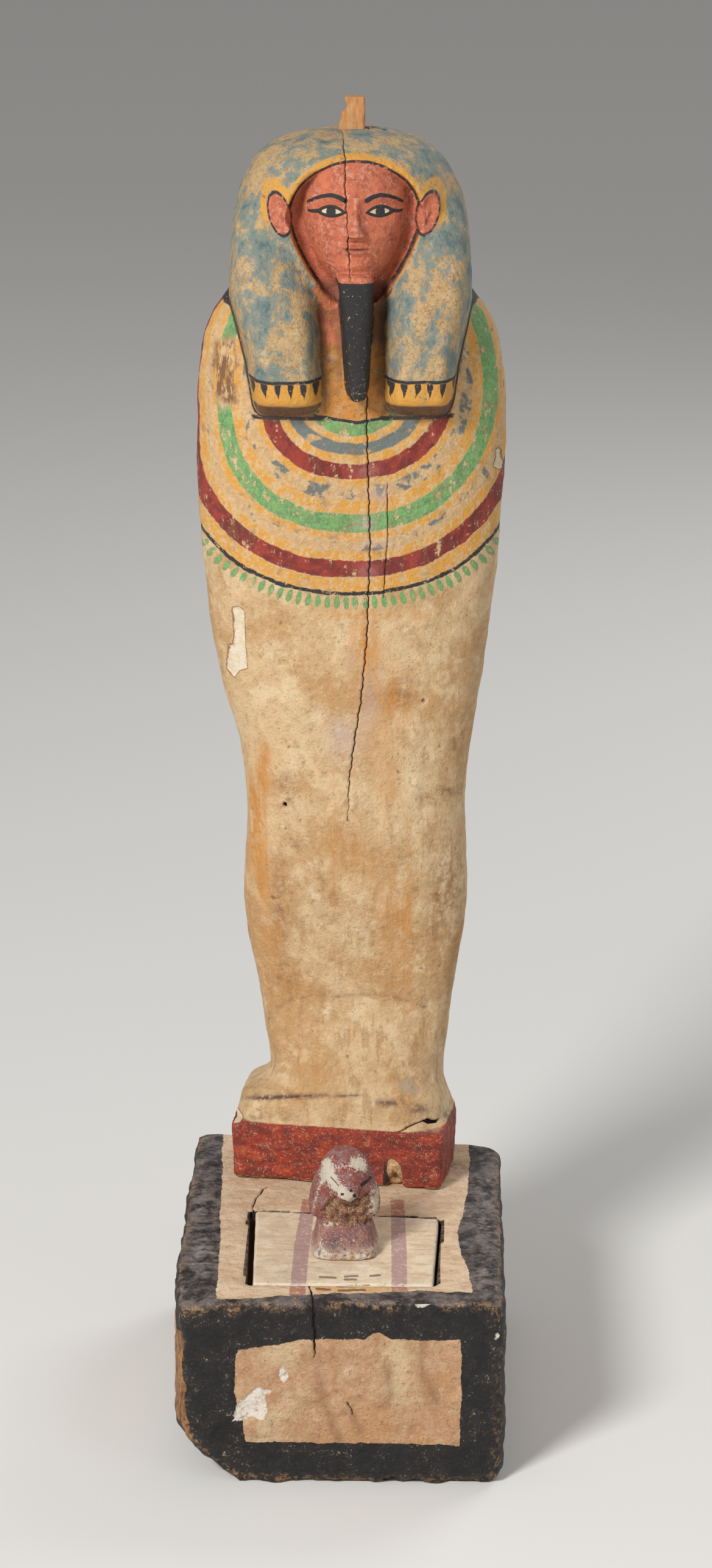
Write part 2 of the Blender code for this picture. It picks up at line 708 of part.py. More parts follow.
def falcon_loft(name, rows, sides, step):
    """A loft of ovals along the falcon's height, in hundredths of its own sizes."""
    across, along, up = FALCON_WIDTH / 200, FALCON_DEPTH / 200, FALCON_HEIGHT / 100
    rings = []
    for level in levels_of(rows, step):
        width, front, back, squareness = smooth_row(rows, level)
        middle = (back - front) / 2
        reach = (back + front) / 2
        ring = oval(width * across, reach * along, reach * along, squareness, sides)
        rings.append([(x, y + middle * along, level * up) for x, y in ring])
    place = (FALCON_X, FALCON_FRONT_Y + FALCON_DEPTH / 2, TOP_Z + SEAT_GAP)
    return add_object(name, loft(rings), place)


def make_falcon():
    falcon = falcon_loft("falcon", FALCON_FOOT_ROWS, 24, 10)
    falcon.data.materials.append(paint("mauve_paint", MAUVE_PAINT))
    combine(falcon, falcon_loft("falcon_wings", FALCON_BODY_ROWS, 24, 7), "UNION")
    combine(falcon, falcon_loft("falcon_head", FALCON_HEAD_ROWS, 20, 5), "UNION")
    return falcon


def shade(item, degrees):
    item.data.shade_smooth()
    item.data.set_sharp_from_angle(angle=math.radians(degrees))


def build():
    clear_scene()
    for item, degrees in (
        (make_figure(), 40),
        (make_plinth(), 35),
        (make_falcon(), 45),
    ):
        shade(item, degrees)
    make_tenon()
    make_lid()


build()
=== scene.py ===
"""Looks of a painted wooden mummiform figure on its hollow plinth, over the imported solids.

Metres, +Z up, front towards -Y. Each piece is a merged and remeshed copy of its solid,
evened, carved finer in code and painted. Paint and damage that the photograph shows are
placed by its pixels, through the camera of the scene, and kept on the mesh as attributes.
"""
import json
import math

import bpy
import numpy as np
from mathutils import Matrix, Vector, noise

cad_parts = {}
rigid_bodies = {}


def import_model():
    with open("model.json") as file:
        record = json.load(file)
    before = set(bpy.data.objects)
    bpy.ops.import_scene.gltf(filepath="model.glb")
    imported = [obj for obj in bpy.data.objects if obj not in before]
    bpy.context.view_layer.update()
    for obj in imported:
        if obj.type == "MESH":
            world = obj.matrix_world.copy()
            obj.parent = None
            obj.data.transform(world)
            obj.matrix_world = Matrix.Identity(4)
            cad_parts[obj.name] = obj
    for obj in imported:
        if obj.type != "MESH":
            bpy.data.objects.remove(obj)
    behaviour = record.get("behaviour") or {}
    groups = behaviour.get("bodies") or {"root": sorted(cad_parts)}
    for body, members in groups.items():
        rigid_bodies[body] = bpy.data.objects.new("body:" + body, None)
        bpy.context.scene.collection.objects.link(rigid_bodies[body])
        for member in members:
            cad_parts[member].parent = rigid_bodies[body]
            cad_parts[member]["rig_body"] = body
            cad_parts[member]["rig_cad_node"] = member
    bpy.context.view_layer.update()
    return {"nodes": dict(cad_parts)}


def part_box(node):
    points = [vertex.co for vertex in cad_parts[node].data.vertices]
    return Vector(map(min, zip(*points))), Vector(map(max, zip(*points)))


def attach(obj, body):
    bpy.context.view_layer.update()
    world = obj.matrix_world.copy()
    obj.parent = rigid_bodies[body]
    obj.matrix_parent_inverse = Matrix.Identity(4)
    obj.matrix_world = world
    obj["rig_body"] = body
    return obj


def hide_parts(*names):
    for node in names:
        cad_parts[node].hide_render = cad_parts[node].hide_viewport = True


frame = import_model()

# Camera, as the photograph was taken
PHOTO_WIDTH = 1169
PHOTO_HEIGHT = 2576
LENS_PIXELS = 6900
SENSOR_MM = 36.0
CAMERA_TARGET = Vector((0.0062, 0.0, 0.3120))
CAMERA_DISTANCE = 2.0
CAMERA_ELEVATION = math.radians(16.5)
CAMERA_AZIMUTH = math.radians(1.2)
CAMERA_BACK = Vector((
    math.sin(CAMERA_AZIMUTH) * math.cos(CAMERA_ELEVATION),
    -math.cos(CAMERA_AZIMUTH) * math.cos(CAMERA_ELEVATION),
    math.sin(CAMERA_ELEVATION),
))
CAMERA_PLACE = CAMERA_TARGET + CAMERA_DISTANCE * CAMERA_BACK
CAMERA_RIGHT = Vector((math.cos(CAMERA_AZIMUTH), math.sin(CAMERA_AZIMUTH), 0.0))
CAMERA_UP = CAMERA_BACK.cross(CAMERA_RIGHT)
PIXELS_PER_MM = LENS_PIXELS / CAMERA_DISTANCE / 1000

MM = 0.001
WELD = 0.00001
# Pixels that a mark's field reads where it isn't, and the least share of a face seen
FAR_OUTSIDE = -30.0
SEEN = 0.1
# Pixels round fine marks within which faces are cut smaller, once and again
CUT_REACHES = (6, 3)
# Spacing of each mesh, and the share of the figure's faces that stays in the end
FIGURE_GRAIN = 1.7 * MM
FIGURE_SHARE_KEPT = 0.645
PLINTH_GRAIN = 1.75 * MM
LID_GRAIN = 1.0 * MM
FALCON_GRAIN = 0.62 * MM
TENON_GRAIN = 0.5 * MM

# Figure: hundredths of its height, from the underside of its red foot block
FIGURE_LOW, FIGURE_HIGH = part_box("figure")
TONGUE_LOW, TONGUE_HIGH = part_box("crown_tenon")
AXIS_X = (TONGUE_LOW.x + TONGUE_HIGH.x) / 2
AXIS_Y = (TONGUE_LOW.y + TONGUE_HIGH.y) / 2
FOOT_Z = FIGURE_LOW.z
UNIT = (FIGURE_HIGH.z - FOOT_Z) / 100
BLOCK_HEIGHT = 0.030
BLOCK_LEVEL = BLOCK_HEIGHT / UNIT

# level, turn in degrees, sideways shift, as the figure stands
STANCE = np.array([
    (0.0, -8.75, -0.3), (7.6, -8.75, -0.5), (8.8, -8.6, 0.25), (9.6, -8.4, 0.45), (11.4, -8.0, 0.55),
    (14.0, -7.3, 0.4),
    (18.0, -6.0, 0.3), (24.0, -4.2, 0.25), (29.0, -2.5, 0.35), (41.0, 0.0, 0.35), (49.0, 0.8, -0.1),
    (60.0, 2.0, -0.2), (70.0, 2.6, -0.12), (78.0, 2.6, -0.07), (88.0, 2.6, -0.2), (100.0, 2.6, -0.2),
])
# level, half width, reach to the front, reach to the back, squareness
CHEST = np.array([
    (47.2, 12.15, 6.4, 5.8, 2.3), (55.5, 13.35, 6.6, 5.6, 2.3), (63.6, 14.1, 6.85, 5.7, 2.3),
    (71.6, 14.4, 7.15, 6.0, 2.35), (77.6, 14.3, 7.05, 6.2, 2.4), (81.5, 13.65, 6.5, 6.0, 2.4),
    (83.6, 12.75, 6.0, 5.6, 2.4), (85.4, 11.1, 5.4, 5.0, 2.4), (86.6, 7.6, 4.3, 4.0, 2.2),
    (87.0, 4.8, 3.3, 3.0, 2.1),
])
WIG = np.array([
    (75.2, 8.2, 1.9, 6.45, 2.6), (76.7, 8.9, 2.7, 6.95, 2.6), (80.5, 10.0, 4.2, 6.95, 2.5),
    (84.4, 11.0, 6.1, 6.8, 2.4), (87.4, 10.95, 7.4, 6.8, 2.3), (91.3, 10.87, 8.35, 7.0, 2.25),
])
# level, inner side, outer side, reach to the front, squareness
LAPPET = np.array([
    (74.5, 3.2, 8.6, 6.2, 3.4), (75.1, 3.0, 8.85, 7.6, 3.6), (76.4, 2.8, 9.05, 10.2, 4.0),
    (79.5, 2.8, 9.5, 10.2, 3.6), (82.8, 2.9, 10.3, 9.95, 3.2), (85.5, 3.15, 11.1, 9.45, 3.0),
    (88.8, 4.8, 10.95, 8.35, 2.8), (91.3, 6.0, 10.75, 6.9, 2.5),
])
LAPPET_CENTRE = -3.2
LAPPET_BAND_LOW = 76.3
LAPPET_BAND_HIGH = 78.3
# level, half width, reach to the front
BEARD = np.array([
    (76.6, 0.4, 10.2), (76.75, 0.75, 10.7), (77.5, 0.97, 10.95), (82.5, 1.27, 10.5),
    (86.7, 1.62, 9.9), (87.9, 1.72, 9.45),
])
BEARD_CENTRE = -8.0
BEARD_BACK = 2.6
BEARD_SQUARENESS = 3.6
BEARD_TOP = 87.35
# Opening of the wig round the face
OPENING_LEVEL = 92.57
OPENING_HALF_WIDTH = 6.12
OPENING_UP = 5.6
OPENING_DOWN = 8.35
OPENING_TAPER = 0.33
EAR_CENTRE = (6.65, 93.2)
EAR_SHIFT = 0.2
EAR_SIZE = (1.0, 2.0)
EAR_TILT = math.radians(14)

# Face of plain canon proportions: level, half width, reach to the front
FACE = np.array([
    (86.6, 1.7, 6.9), (87.6, 2.8, 7.85), (88.7, 3.7, 8.2), (90.0, 4.45, 8.3), (91.6, 5.05, 8.35),
    (93.6, 5.4, 8.35), (95.4, 5.35, 8.3), (97.0, 5.0, 8.05), (98.4, 4.3, 7.4),
])
FACE_CENTRE = -2.0
FACE_SHIFT = 0.33
FACE_SQUARENESS = 2.25
EYE_LEVEL = 93.5
EYE_SPACING = 2.2
EYE_HALF_WIDTH = 1.15
EYE_UPPER = 0.48
EYE_LOWER = 0.32
IRIS_RADIUS = 0.42
BROW_LEVEL = 94.7
NOSE_LEVEL = 91.5
MOUTH_LEVEL = 90.2
CHIN_LEVEL = 88.6

# height, place across (both sides) or 0 for the middle, level, reach across, reach up
FACE_BUMPS = (
    (0.3, 0.62, NOSE_LEVEL + 0.12, 0.3, 0.3), (-0.16, 0.36, NOSE_LEVEL - 0.22, 0.16, 0.12),
    (0.22, 0, BROW_LEVEL + 0.25, 4.6, 0.5), (-0.5, EYE_SPACING - 0.1, EYE_LEVEL, 1.25, 0.62),
    (0.34, EYE_SPACING, EYE_LEVEL, 0.85, 0.36), (0.34, 0, MOUTH_LEVEL, 1.5, 0.75),
    (0.2, 0, MOUTH_LEVEL + 0.25, 1.05, 0.17), (0.22, 0, MOUTH_LEVEL - 0.3, 0.85, 0.2),
    (-0.24, 0, MOUTH_LEVEL, 1.2, 0.09), (-0.08, 0, MOUTH_LEVEL + 0.75, 0.14, 0.3),
    (0.3, 0, CHIN_LEVEL, 1.1, 0.62), (0.16, 2.9, NOSE_LEVEL + 0.4, 1.2, 1.1),
)

# Bands of the broad collar, in mm from its centre at the throat
COLLAR_LEVEL = (0.400 - 0.0003) / UNIT
COLLAR_SQUARENESS = 2.2
COLLAR_STRETCH = 1.025
NECKLINE_LEVEL = 74.4
NECKLINE_RISE = 0.16
COLLAR_SPREAD = ((0.0, 1.2), (35.0, 1.17), (60.0, 1.03), (82.0, 1.0), (110.0, 1.02))
COLLAR_LEAN = 0.04
COLLAR_PULL = 0.055
COLLAR_BACK_EDGE = 2.2
PENDANT_RING = 97.6
PENDANT_STEP = 4.4
PAST_COLLAR = 400
COLLAR_END = 95.0
GREEN_RINGS = ((12.4, 18.5), (56.0, 64.7))
RED_RINGS = ((31.6, 39.0), (78.4, 86.4))
YELLOW_RINGS = (
    (18.7, 21.9), (27.6, 31.4), (39.2, 42.4), (49.4, 55.8), (64.9, 68.3), (74.0, 78.2), (86.7, 93.3),
)
# from, to, how scarce the blue beads are
BEAD_RINGS = ((21.9, 27.6, 0.34), (42.6, 49.4, 0.5), (68.6, 73.8, 0.58))
HEM_RING = (93.3, 95.1)
DROP_RING = 98.6
DROP_HALF_LENGTH = 3.4
DROP_HALF_WIDTH = 0.32
WIG_STEP_MM = 36


def seen_at(points):
    """Pixels of the photograph at which points show."""
    away = points - np.array(CAMERA_PLACE)
    depth = away @ -np.array(CAMERA_BACK)
    u = PHOTO_WIDTH / 2 + LENS_PIXELS * (away @ np.array(CAMERA_RIGHT)) / depth
    v = PHOTO_HEIGHT / 2 - LENS_PIXELS * (away @ np.array(CAMERA_UP)) / depth
    return u, v


# Mesh tools
def deselect_all():
    if bpy.context.object and bpy.context.object.mode != "OBJECT":
        bpy.ops.object.mode_set(mode="OBJECT")
    bpy.ops.object.select_all(action="DESELECT")


def pick(piece):
    deselect_all()
    piece.select_set(True)
    bpy.context.view_layer.objects.active = piece


def copy_of_node(node, name, grain):
    """A copy of a solid, merged and remeshed into even squares of a size."""
    source = frame["nodes"][node]
    piece = source.copy()
    piece.data = source.data.copy()
    piece.name = name
    piece.data.name = name
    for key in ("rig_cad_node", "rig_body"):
        del piece[key]
    piece.parent = None
    bpy.context.scene.collection.objects.link(piece)
    pick(piece)
    bpy.ops.object.mode_set(mode="EDIT")
    bpy.ops.mesh.select_all(action="SELECT")
    bpy.ops.mesh.remove_doubles(threshold=WELD)
    bpy.ops.object.mode_set(mode="OBJECT")
    squares = piece.modifiers.new("even_squares", "REMESH")
    squares.mode = "VOXEL"
    squares.voxel_size = grain
    bpy.ops.object.modifier_apply(modifier=squares.name)
    bpy.ops.object.shade_smooth()
    return piece


def coordinates(piece):
    flat = np.empty(len(piece.data.vertices) * 3)
    piece.data.vertices.foreach_get("co", flat)
    return flat.reshape(-1, 3)


def place_vertices(piece, points):
    piece.data.vertices.foreach_set("co", np.ascontiguousarray(points).ravel())
    piece.data.update()


def normals(piece):
    flat = np.empty(len(piece.data.vertices) * 3)
    piece.data.vertices.foreach_get("normal", flat)
    return flat.reshape(-1, 3)


def edge_ends(piece):
    flat = np.empty(len(piece.data.edges) * 2, dtype=np.int64)
    piece.data.edges.foreach_get("vertices", flat)
    return flat.reshape(-1, 2).T


def neighbour_mean(values, ends):
    """The mean of each vertex's neighbours, for one column of values."""
    first, second = ends
    size = len(values)
    total = np.bincount(first, values[second], size) + np.bincount(second, values[first], size)
    count = np.bincount(first, minlength=size) + np.bincount(second, minlength=size)
    return total / np.maximum(count, 1)


def relax(piece, rounds, share):
    """Evens the surface, moving each vertex by a share towards its neighbours' middle."""
    points = coordinates(piece)
    ends = edge_ends(piece)
    for _ in range(rounds):
        for k in range(3):
            points[:, k] += share * (neighbour_mean(points[:, k], ends) - points[:, k])
    place_vertices(piece, points)


def spread(values, ends, rings):
    """The largest value within some rings of neighbours."""
    first, second = ends
    for _ in range(rings):
        wider = values.copy()
        np.maximum.at(wider, first, values[second])
        np.maximum.at(wider, second, values[first])
        values = wider
    return values


def softened(values, ends, rounds):
    for _ in range(rounds):
        values = 0.5 * values + 0.5 * neighbour_mean(values, ends)
    return values


def creases(piece, degrees, rings):
    """1 where the surface turns by more than an angle from one vertex to the next."""
    facing = normals(piece)
    first, second = edge_ends(piece)
    cosine = (facing[first] * facing[second]).sum(axis=1)
    sharp = np.zeros(len(facing))
    turned = (cosine < math.cos(math.radians(degrees))).astype(float)
    np.maximum.at(sharp, first, turned)
    np.maximum.at(sharp, second, turned)
    return spread(sharp, (first, second), rings)


def hollowness(piece, rounds):
    """Positive in hollows and negative on edges, in mm."""
    points = coordinates(piece)
    ends = edge_ends(piece)
    even = np.column_stack([softened(points[:, k], ends, rounds) for k in range(3)])
    return ((even - points) * normals(piece)).sum(axis=1) / MM


def subdivide_near(piece, near):
    """Cuts each face that has a marked vertex into four."""
    mesh = piece.data
    corners = np.empty(len(mesh.loops), dtype=np.int64)
    mesh.loops.foreach_get("vertex_index", corners)
    starts = np.empty(len(mesh.polygons), dtype=np.int64)
    mesh.polygons.foreach_get("loop_start", starts)
    chosen = np.maximum.reduceat(near.astype(np.int8)[corners], starts).astype(bool)
    pick(piece)
    bpy.ops.object.mode_set(mode="EDIT")
    bpy.ops.mesh.select_all(action="DESELECT")
    bpy.ops.mesh.select_mode(type="FACE")
    bpy.ops.object.mode_set(mode="OBJECT")
    mesh.polygons.foreach_set("select", chosen)
    bpy.ops.object.mode_set(mode="EDIT")
    bpy.ops.mesh.subdivide(number_cuts=1)
    bpy.ops.object.mode_set(mode="OBJECT")


def thin_out(piece, share):
    """Merges the vertices that add least to the form, down to a share of the faces."""
    fewer = piece.modifiers.new("fewer_faces", "DECIMATE")
    fewer.ratio = share
    pick(piece)
    bpy.ops.object.modifier_apply(modifier=fewer.name)


def mark(piece, name, values):
    """Keeps one number for each vertex, which the paint reads by its name."""
    layer = piece.data.attributes.new(name, "FLOAT", "POINT")
    layer.data.foreach_set("value", np.asarray(values, dtype=np.float32))


def mark_all(piece, **fields):
    """Keeps several fields on the mesh, by their names."""
    for name, values in fields.items():
        mark(piece, name, values)


def push_out(piece, points, depth, lowest=-np.inf, highest=np.inf):
    """Moves the vertices along their normals by a depth in mm, between two levels."""
    moved = points + normals(piece) * (depth * MM)[:, None]
    moved[:, 2] = np.clip(moved[:, 2], lowest, highest)
    place_vertices(piece, moved)


def finish_piece(piece, material, node):
    piece.data.materials.clear()
    piece.data.materials.append(material)
    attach(piece, "root")
    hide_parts(node)


# Fields: one number for each vertex
def ease(values, low, high):
    t = np.clip((values - low) / (high - low), 0, 1)
    return t * t * (3 - 2 * t)


def row_values(rows, level):
    """Each column of the rows at the levels."""
    return [np.interp(level, rows[:, 0], rows[:, k]) for k in range(1, rows.shape[1])]


def lumps(points, size, shift):
    """Smooth unevenness of a size, between about -1 and 1."""
    offset = Vector((shift, 1.7 * shift, 0.6 * shift))
    return np.array([noise.noise(Vector(point) / size + offset) for point in points]) * 1.6


def oval_gauge(across, along, half_width, front, back, squareness, centre=0.0):
    """1 on an upright oval, less inside and more outside; the front is towards -Y."""
    depth = along - centre
    reach = np.where(depth < 0, front + centre, back - centre)
    power = np.abs(across / half_width) ** squareness + np.abs(depth / reach) ** squareness
    return power ** (1 / squareness)


def path_distance(u, v, path):
    """Distance in pixels to a path of pixels, and how far along it, from 0 to 1."""
    best = np.full(u.shape, 1e6)
    along = np.zeros(u.shape)
    count = len(path) - 1
    for k in range(count):
        (u0, v0), (u1, v1) = path[k][:2], path[k + 1][:2]
        du, dv = u1 - u0, v1 - v0
        t = np.clip(((u - u0) * du + (v - v0) * dv) / (du * du + dv * dv), 0, 1)
        distance = np.hypot(u - u0 - t * du, v - v0 - t * dv)
        nearer = distance < best
        best = np.where(nearer, distance, best)
        along = np.where(nearer, (k + t) / count, along)
    return best, along


def polygon_field(u, v, corners):
    """Pixels inside a polygon of pixels, negative outside it."""
    distance, _ = path_distance(u, v, list(corners) + [corners[0]])
    inside = np.zeros(u.shape, dtype=bool)
    for k in range(len(corners)):
        (u0, v0), (u1, v1) = corners[k - 1], corners[k]
        crosses = (v0 > v) != (v1 > v)
        step = v1 - v0 if v1 != v0 else 1.0
        inside ^= crosses & (u < (u1 - u0) * (v - v0) / step + u0)
    return np.where(inside, distance, -distance)


def in_any(u, v, outlines):
    """Pixels inside the nearest of some polygons, negative outside them all."""
    return np.maximum.reduce([polygon_field(u, v, corners) for corners in outlines], initial=FAR_OUTSIDE)


def nearest_path(u, v, paths):
    """Distance in pixels to the nearest of some paths of pixels."""
    return np.minimum.reduce([path_distance(u, v, path)[0] for path in paths])


def where_seen(field, shown):
    """The field on faces that the camera sees, and far outside elsewhere."""
    return np.where(shown > SEEN, field, FAR_OUTSIDE)


def spots_field(u, v, spots):
    """Sum of soft spots given as (u, v, reach across, reach down, strength)."""
    total = np.zeros(u.shape)
    for spot_u, spot_v, across, down, strength in spots:
        total += strength * np.exp(-((u - spot_u) / across) ** 2 - ((v - spot_v) / down) ** 2)
    return total


def crack_field(u, v, path, half_width, wander=1.2):
    """Pixels inside a crack that narrows towards its ends, negative outside it."""
    shaken = u + wander * (np.sin(v / 5.3) + 0.7 * np.sin(v / 2.1 + 1.0)) * 0.6
    distance, along = path_distance(shaken, v, path)
    ends = np.minimum(1.0, 6 * np.minimum(along, 1 - along) + 0.25)
    return half_width * ends - distance


# Figure: marks by the photograph's pixels
FACE_CRACK_PIXELS = [(562, 215), (567, 267), (566, 300), (570, 388), (575, 462)]
CHEST_CRACK_PIXELS = [
    (614, 500), (613, 541), (606, 600), (603, 650), (602, 687), (604, 760), (608, 900), (605, 975),
    (603, 1043), (593, 1150), (582, 1218), (573, 1286), (571, 1350),
]
SECOND_CRACK_PIXELS = [(636, 793), (637, 880), (633, 930), (630, 983)]
CROWN_CRACK_PIXELS = [(592, 210), (603, 212), (616, 208), (640, 213)]
TOE_CRACK_PIXELS = [(652, 1860), (668, 1852), (685, 1846), (700, 1841)]
BLOCK_CRACK_PIXELS = [(601, 1858), (599, 1880), (602, 1900), (600, 1925)]
FINE_CRACKS = (
    FACE_CRACK_PIXELS, CHEST_CRACK_PIXELS, SECOND_CRACK_PIXELS, CROWN_CRACK_PIXELS, TOE_CRACK_PIXELS,
)
TOE_HOLE_PIXELS = [(694, 1842), (704, 1838), (716, 1840), (722, 1837), (720, 1843), (704, 1846)]
INSTEP_LINE_PIXELS = [
    (436, 1690), (441, 1672), (452, 1658), (480, 1642), (515, 1636), (555, 1636), (600, 1634),
    (640, 1637), (670, 1645), (700, 1655),
]
INSTEP_SCRATCH_PIXELS = [(537, 1662), (560, 1697), (575, 1730), (600, 1755), (622, 1780)]
LEFT_LOSS_PIXELS = [
    (381, 998), (392, 996), (401, 1003), (402, 1050), (405, 1080), (406, 1098), (395, 1100),
    (385, 1112), (374, 1098), (376, 1060), (384, 1058), (383, 1010),
]
SHOULDER_LOSS_PIXELS = [
    (814, 738), (820, 736), (822, 752), (828, 764), (820, 771), (811, 766), (816, 752),
]
TOE_CHIP_PIXELS = [(377, 1846), (381, 1836), (391, 1822), (399, 1833), (394, 1843)]
FOOT_BARE_PIXELS = [
    (652, 1784), (660, 1774), (668, 1767), (684, 1779), (692, 1794), (680, 1802), (664, 1796),
]
KNEE_CHIP_PIXELS = [(391, 1228), (394, 1230), (398, 1262), (392, 1258)]
NOTCH_LUMP_PIXELS = [
    (637, 1905), (645, 1903), (657, 1912), (660, 1930), (660, 1946), (642, 1944), (635, 1925),
]
NOTCH_GAP_PIXELS = [(631, 1906), (637, 1903), (636, 1925), (640, 1947), (628, 1948), (629, 1930)]
LEFT_SCRAPE_PIXELS = [(352, 562), (384, 556), (390, 600), (386, 662), (364, 670), (350, 640)]
BLOCK_CHIPS = (
    (472, 1922, 10, 6, 0.7), (462, 1928, 8, 5, 0.5), (492, 1871, 16, 5, 0.5), (420, 1868, 16, 8, 0.4),
    (562, 1884, 10, 6, 0.4), (545, 1870, 14, 4, 0.3),
)
WORM_HOLE = (467, 1322, 3.6)
SMALL_HOLES = ((470, 1362, 1.3), (551, 1618, 1.6), (696, 1150, 1.5), (698, 1130, 1.3), (692, 1170, 1.2))
OCHRE_STAINS = (
    (430, 1290, 22, 70, 0.8), (428, 1420, 16, 90, 0.9), (445, 1250, 14, 30, 0.6), (600, 1060, 26, 60, 1.0),
    (560, 1008, 30, 9, 0.9), (655, 1010, 60, 8, 0.7), (650, 1150, 40, 45, 0.7), (672, 1500, 5, 130, 0.8),
    (450, 1570, 22, 50, 0.6), (640, 1290, 22, 40, 0.6), (590, 1400, 40, 50, 0.45), (640, 1480, 25, 60, 0.5),
    (415, 1350, 8, 60, 1.0), (545, 1380, 14, 90, 0.4), (660, 1560, 14, 70, 0.5), (620, 1200, 20, 60, 0.5),
)
BROWN_STAINS = (
    (662, 1140, 26, 26, 0.7), (474, 1300, 16, 34, 0.7), (462, 1480, 14, 100, 0.6), (740, 1300, 40, 6, 0.9),
    (745, 1450, 26, 70, 0.6), (716, 1500, 22, 90, 0.5), (700, 1310, 30, 14, 0.4), (745, 1220, 10, 20, 0.5),
    (470, 1600, 26, 20, 0.5), (760, 1600, 16, 80, 0.5), (530, 1430, 16, 10, 0.35), (600, 1370, 20, 30, 0.25),
)
PALE_SPOTS = (
    (677, 1275, 12, 34, 1.0), (456, 1262, 12, 20, 0.8), (680, 1200, 9, 14, 0.8), (515, 1480, 14, 50, 0.5),
    (592, 1516, 36, 4, 0.6), (596, 1560, 30, 24, 0.4), (535, 1662, 6, 9, 1.4), (562, 1700, 3, 5, 1.4),
    (500, 1180, 30, 20, 0.4), (440, 1060, 20, 40, 0.3),
)
LILAC_RETOUCH = (
    (562, 1210, 24, 34, 1.0), (606, 1160, 13, 50, 0.9), (578, 1085, 8, 16, 0.7), (624, 815, 18, 16, 0.9),
    (610, 895, 40, 8, 0.7), (601, 860, 18, 14, 0.9), (604, 940, 18, 12, 0.5), (604, 775, 18, 12, 0.5),
)
TOE_DIRT = (
    (430, 1803, 34, 4, 1.0), (480, 1801, 40, 4, 1.0), (570, 1800, 26, 3, 0.7), (520, 1800, 20, 3, 0.5),
    (640, 1812, 30, 6, 0.9), (690, 1822, 16, 8, 0.9), (740, 1830, 12, 10, 0.4),
)
SPOT_MARKS = {
    "ochre": OCHRE_STAINS, "pale": PALE_SPOTS, "lilac": LILAC_RETOUCH, "toe_dirt": TOE_DIRT,
    "block_chips": BLOCK_CHIPS,
}
FOOT_SCRATCHES = (
    [(534, 1778), (538, 1830), (534, 1850)], [(500, 1560), (505, 1620), (500, 1660)],
    [(740, 1040), (748, 1060), (745, 1075)],
)


def stand_out(points):
    """Local places of the figure's vertices: across, along and level, without its stance."""
    level = (points[:, 2] - FOOT_Z) / UNIT
    turn, shift = row_values(STANCE, level)
    turn = np.radians(turn)
    x = (points[:, 0] - AXIS_X) / UNIT - shift
    y = (points[:, 1] - AXIS_Y) / UNIT
    return x * np.cos(turn) + y * np.sin(turn), -x * np.sin(turn) + y * np.cos(turn), level


def chest_gauge(across, along, level):
    gauge = oval_gauge(across, along, *row_values(CHEST, level))
    return gauge + 0.4 * np.maximum(level - CHEST[-1, 0], 0)


def wig_gauge(across, along, level):
    """Gauge of the nearest part of the wig: its mass or one of its two lappets."""
    mass = oval_gauge(across, along, *row_values(WIG, level))
    mass += 0.6 * np.maximum(WIG[0, 0] - level, 0)
    inner, outer, front, squareness = row_values(LAPPET, level)
    mass += (np.abs(across) < inner + 0.4) & (along < -2.0) & (level < 88.8)
    middle, half = (inner + outer) / 2, (outer - inner) / 2
    panel = oval_gauge(np.abs(across) - middle, along, half, front, 0.0, squareness, LAPPET_CENTRE)
    panel += 0.6 * np.maximum(LAPPET[0, 0] - level, 0) + 0.6 * np.maximum(level - LAPPET[-1, 0], 0)
    return np.minimum(mass, panel)


def opening_gauge(across, level):
    rise = level - OPENING_LEVEL
    share = np.abs(rise) / np.where(rise > 0, OPENING_UP, OPENING_DOWN)
    taper = np.where(rise > 0, 1.0, 1 - OPENING_TAPER * np.minimum(share, 1))
    return np.hypot((across - FACE_SHIFT) / (OPENING_HALF_WIDTH * taper), share)


def ear_gauge(across, level):
    dx = np.abs(across - EAR_SHIFT) - EAR_CENTRE[0]
    dz = level - EAR_CENTRE[1]
    cosine, sine = math.cos(EAR_TILT), math.sin(EAR_TILT)
    return np.hypot((dx * cosine - dz * sine) / EAR_SIZE[0], (dx * sine + dz * cosine) / EAR_SIZE[1])


def bump(x, z, centre_x, centre_z, spread_x, spread_z):
    return np.exp(-((x - centre_x) / spread_x) ** 2 - ((z - centre_z) / spread_z) ** 2)


def face_relief(x, level):
    """How far the features stand out of the plain oval of the face."""
    side = np.abs(x)
    bridge = EYE_LEVEL + 0.7
    along_nose = (bridge - level) / (bridge - NOSE_LEVEL)
    rise = np.clip((along_nose + 0.25) / 1.25, 0, 1)
    fall = np.where(along_nose < 1.0, 1.0, np.clip(1 - (along_nose - 1.0) / 0.22, 0, 1))
    width = 0.42 + 0.42 * rise ** 2
    on_nose = (along_nose > -0.25) & (along_nose < 1.35)
    nose = (0.25 + 1.05 * rise ** 1.3) * fall * np.exp(-(x / width) ** 2)
    relief = np.where(on_nose, nose, 0.0)
    relief += 0.10 * np.exp(-((eye_field(x, level) / 0.13) ** 2))
    for height, from_middle, rise, reach_x, reach_z in FACE_BUMPS:
        where = side if from_middle else x
        relief += height * bump(where, level, from_middle, rise, reach_x, reach_z)
    return relief


def eye_field(x, level):
    """Distance into the almond of either eye, negative outside it."""
    t = (np.abs(x) - EYE_SPACING) / EYE_HALF_WIDTH
    arch = np.maximum(1 - t * t, -1)
    above = EYE_LEVEL + EYE_UPPER * arch - level
    below = level - EYE_LEVEL + EYE_LOWER * arch
    return np.minimum(above, below)


def stroke_field(x, level, path, half_width):
    """Distance into a painted stroke along a path on both sides of the face."""
    distance, along = path_distance(np.abs(x), level, path)
    return half_width * (1 - 0.45 * along) - distance


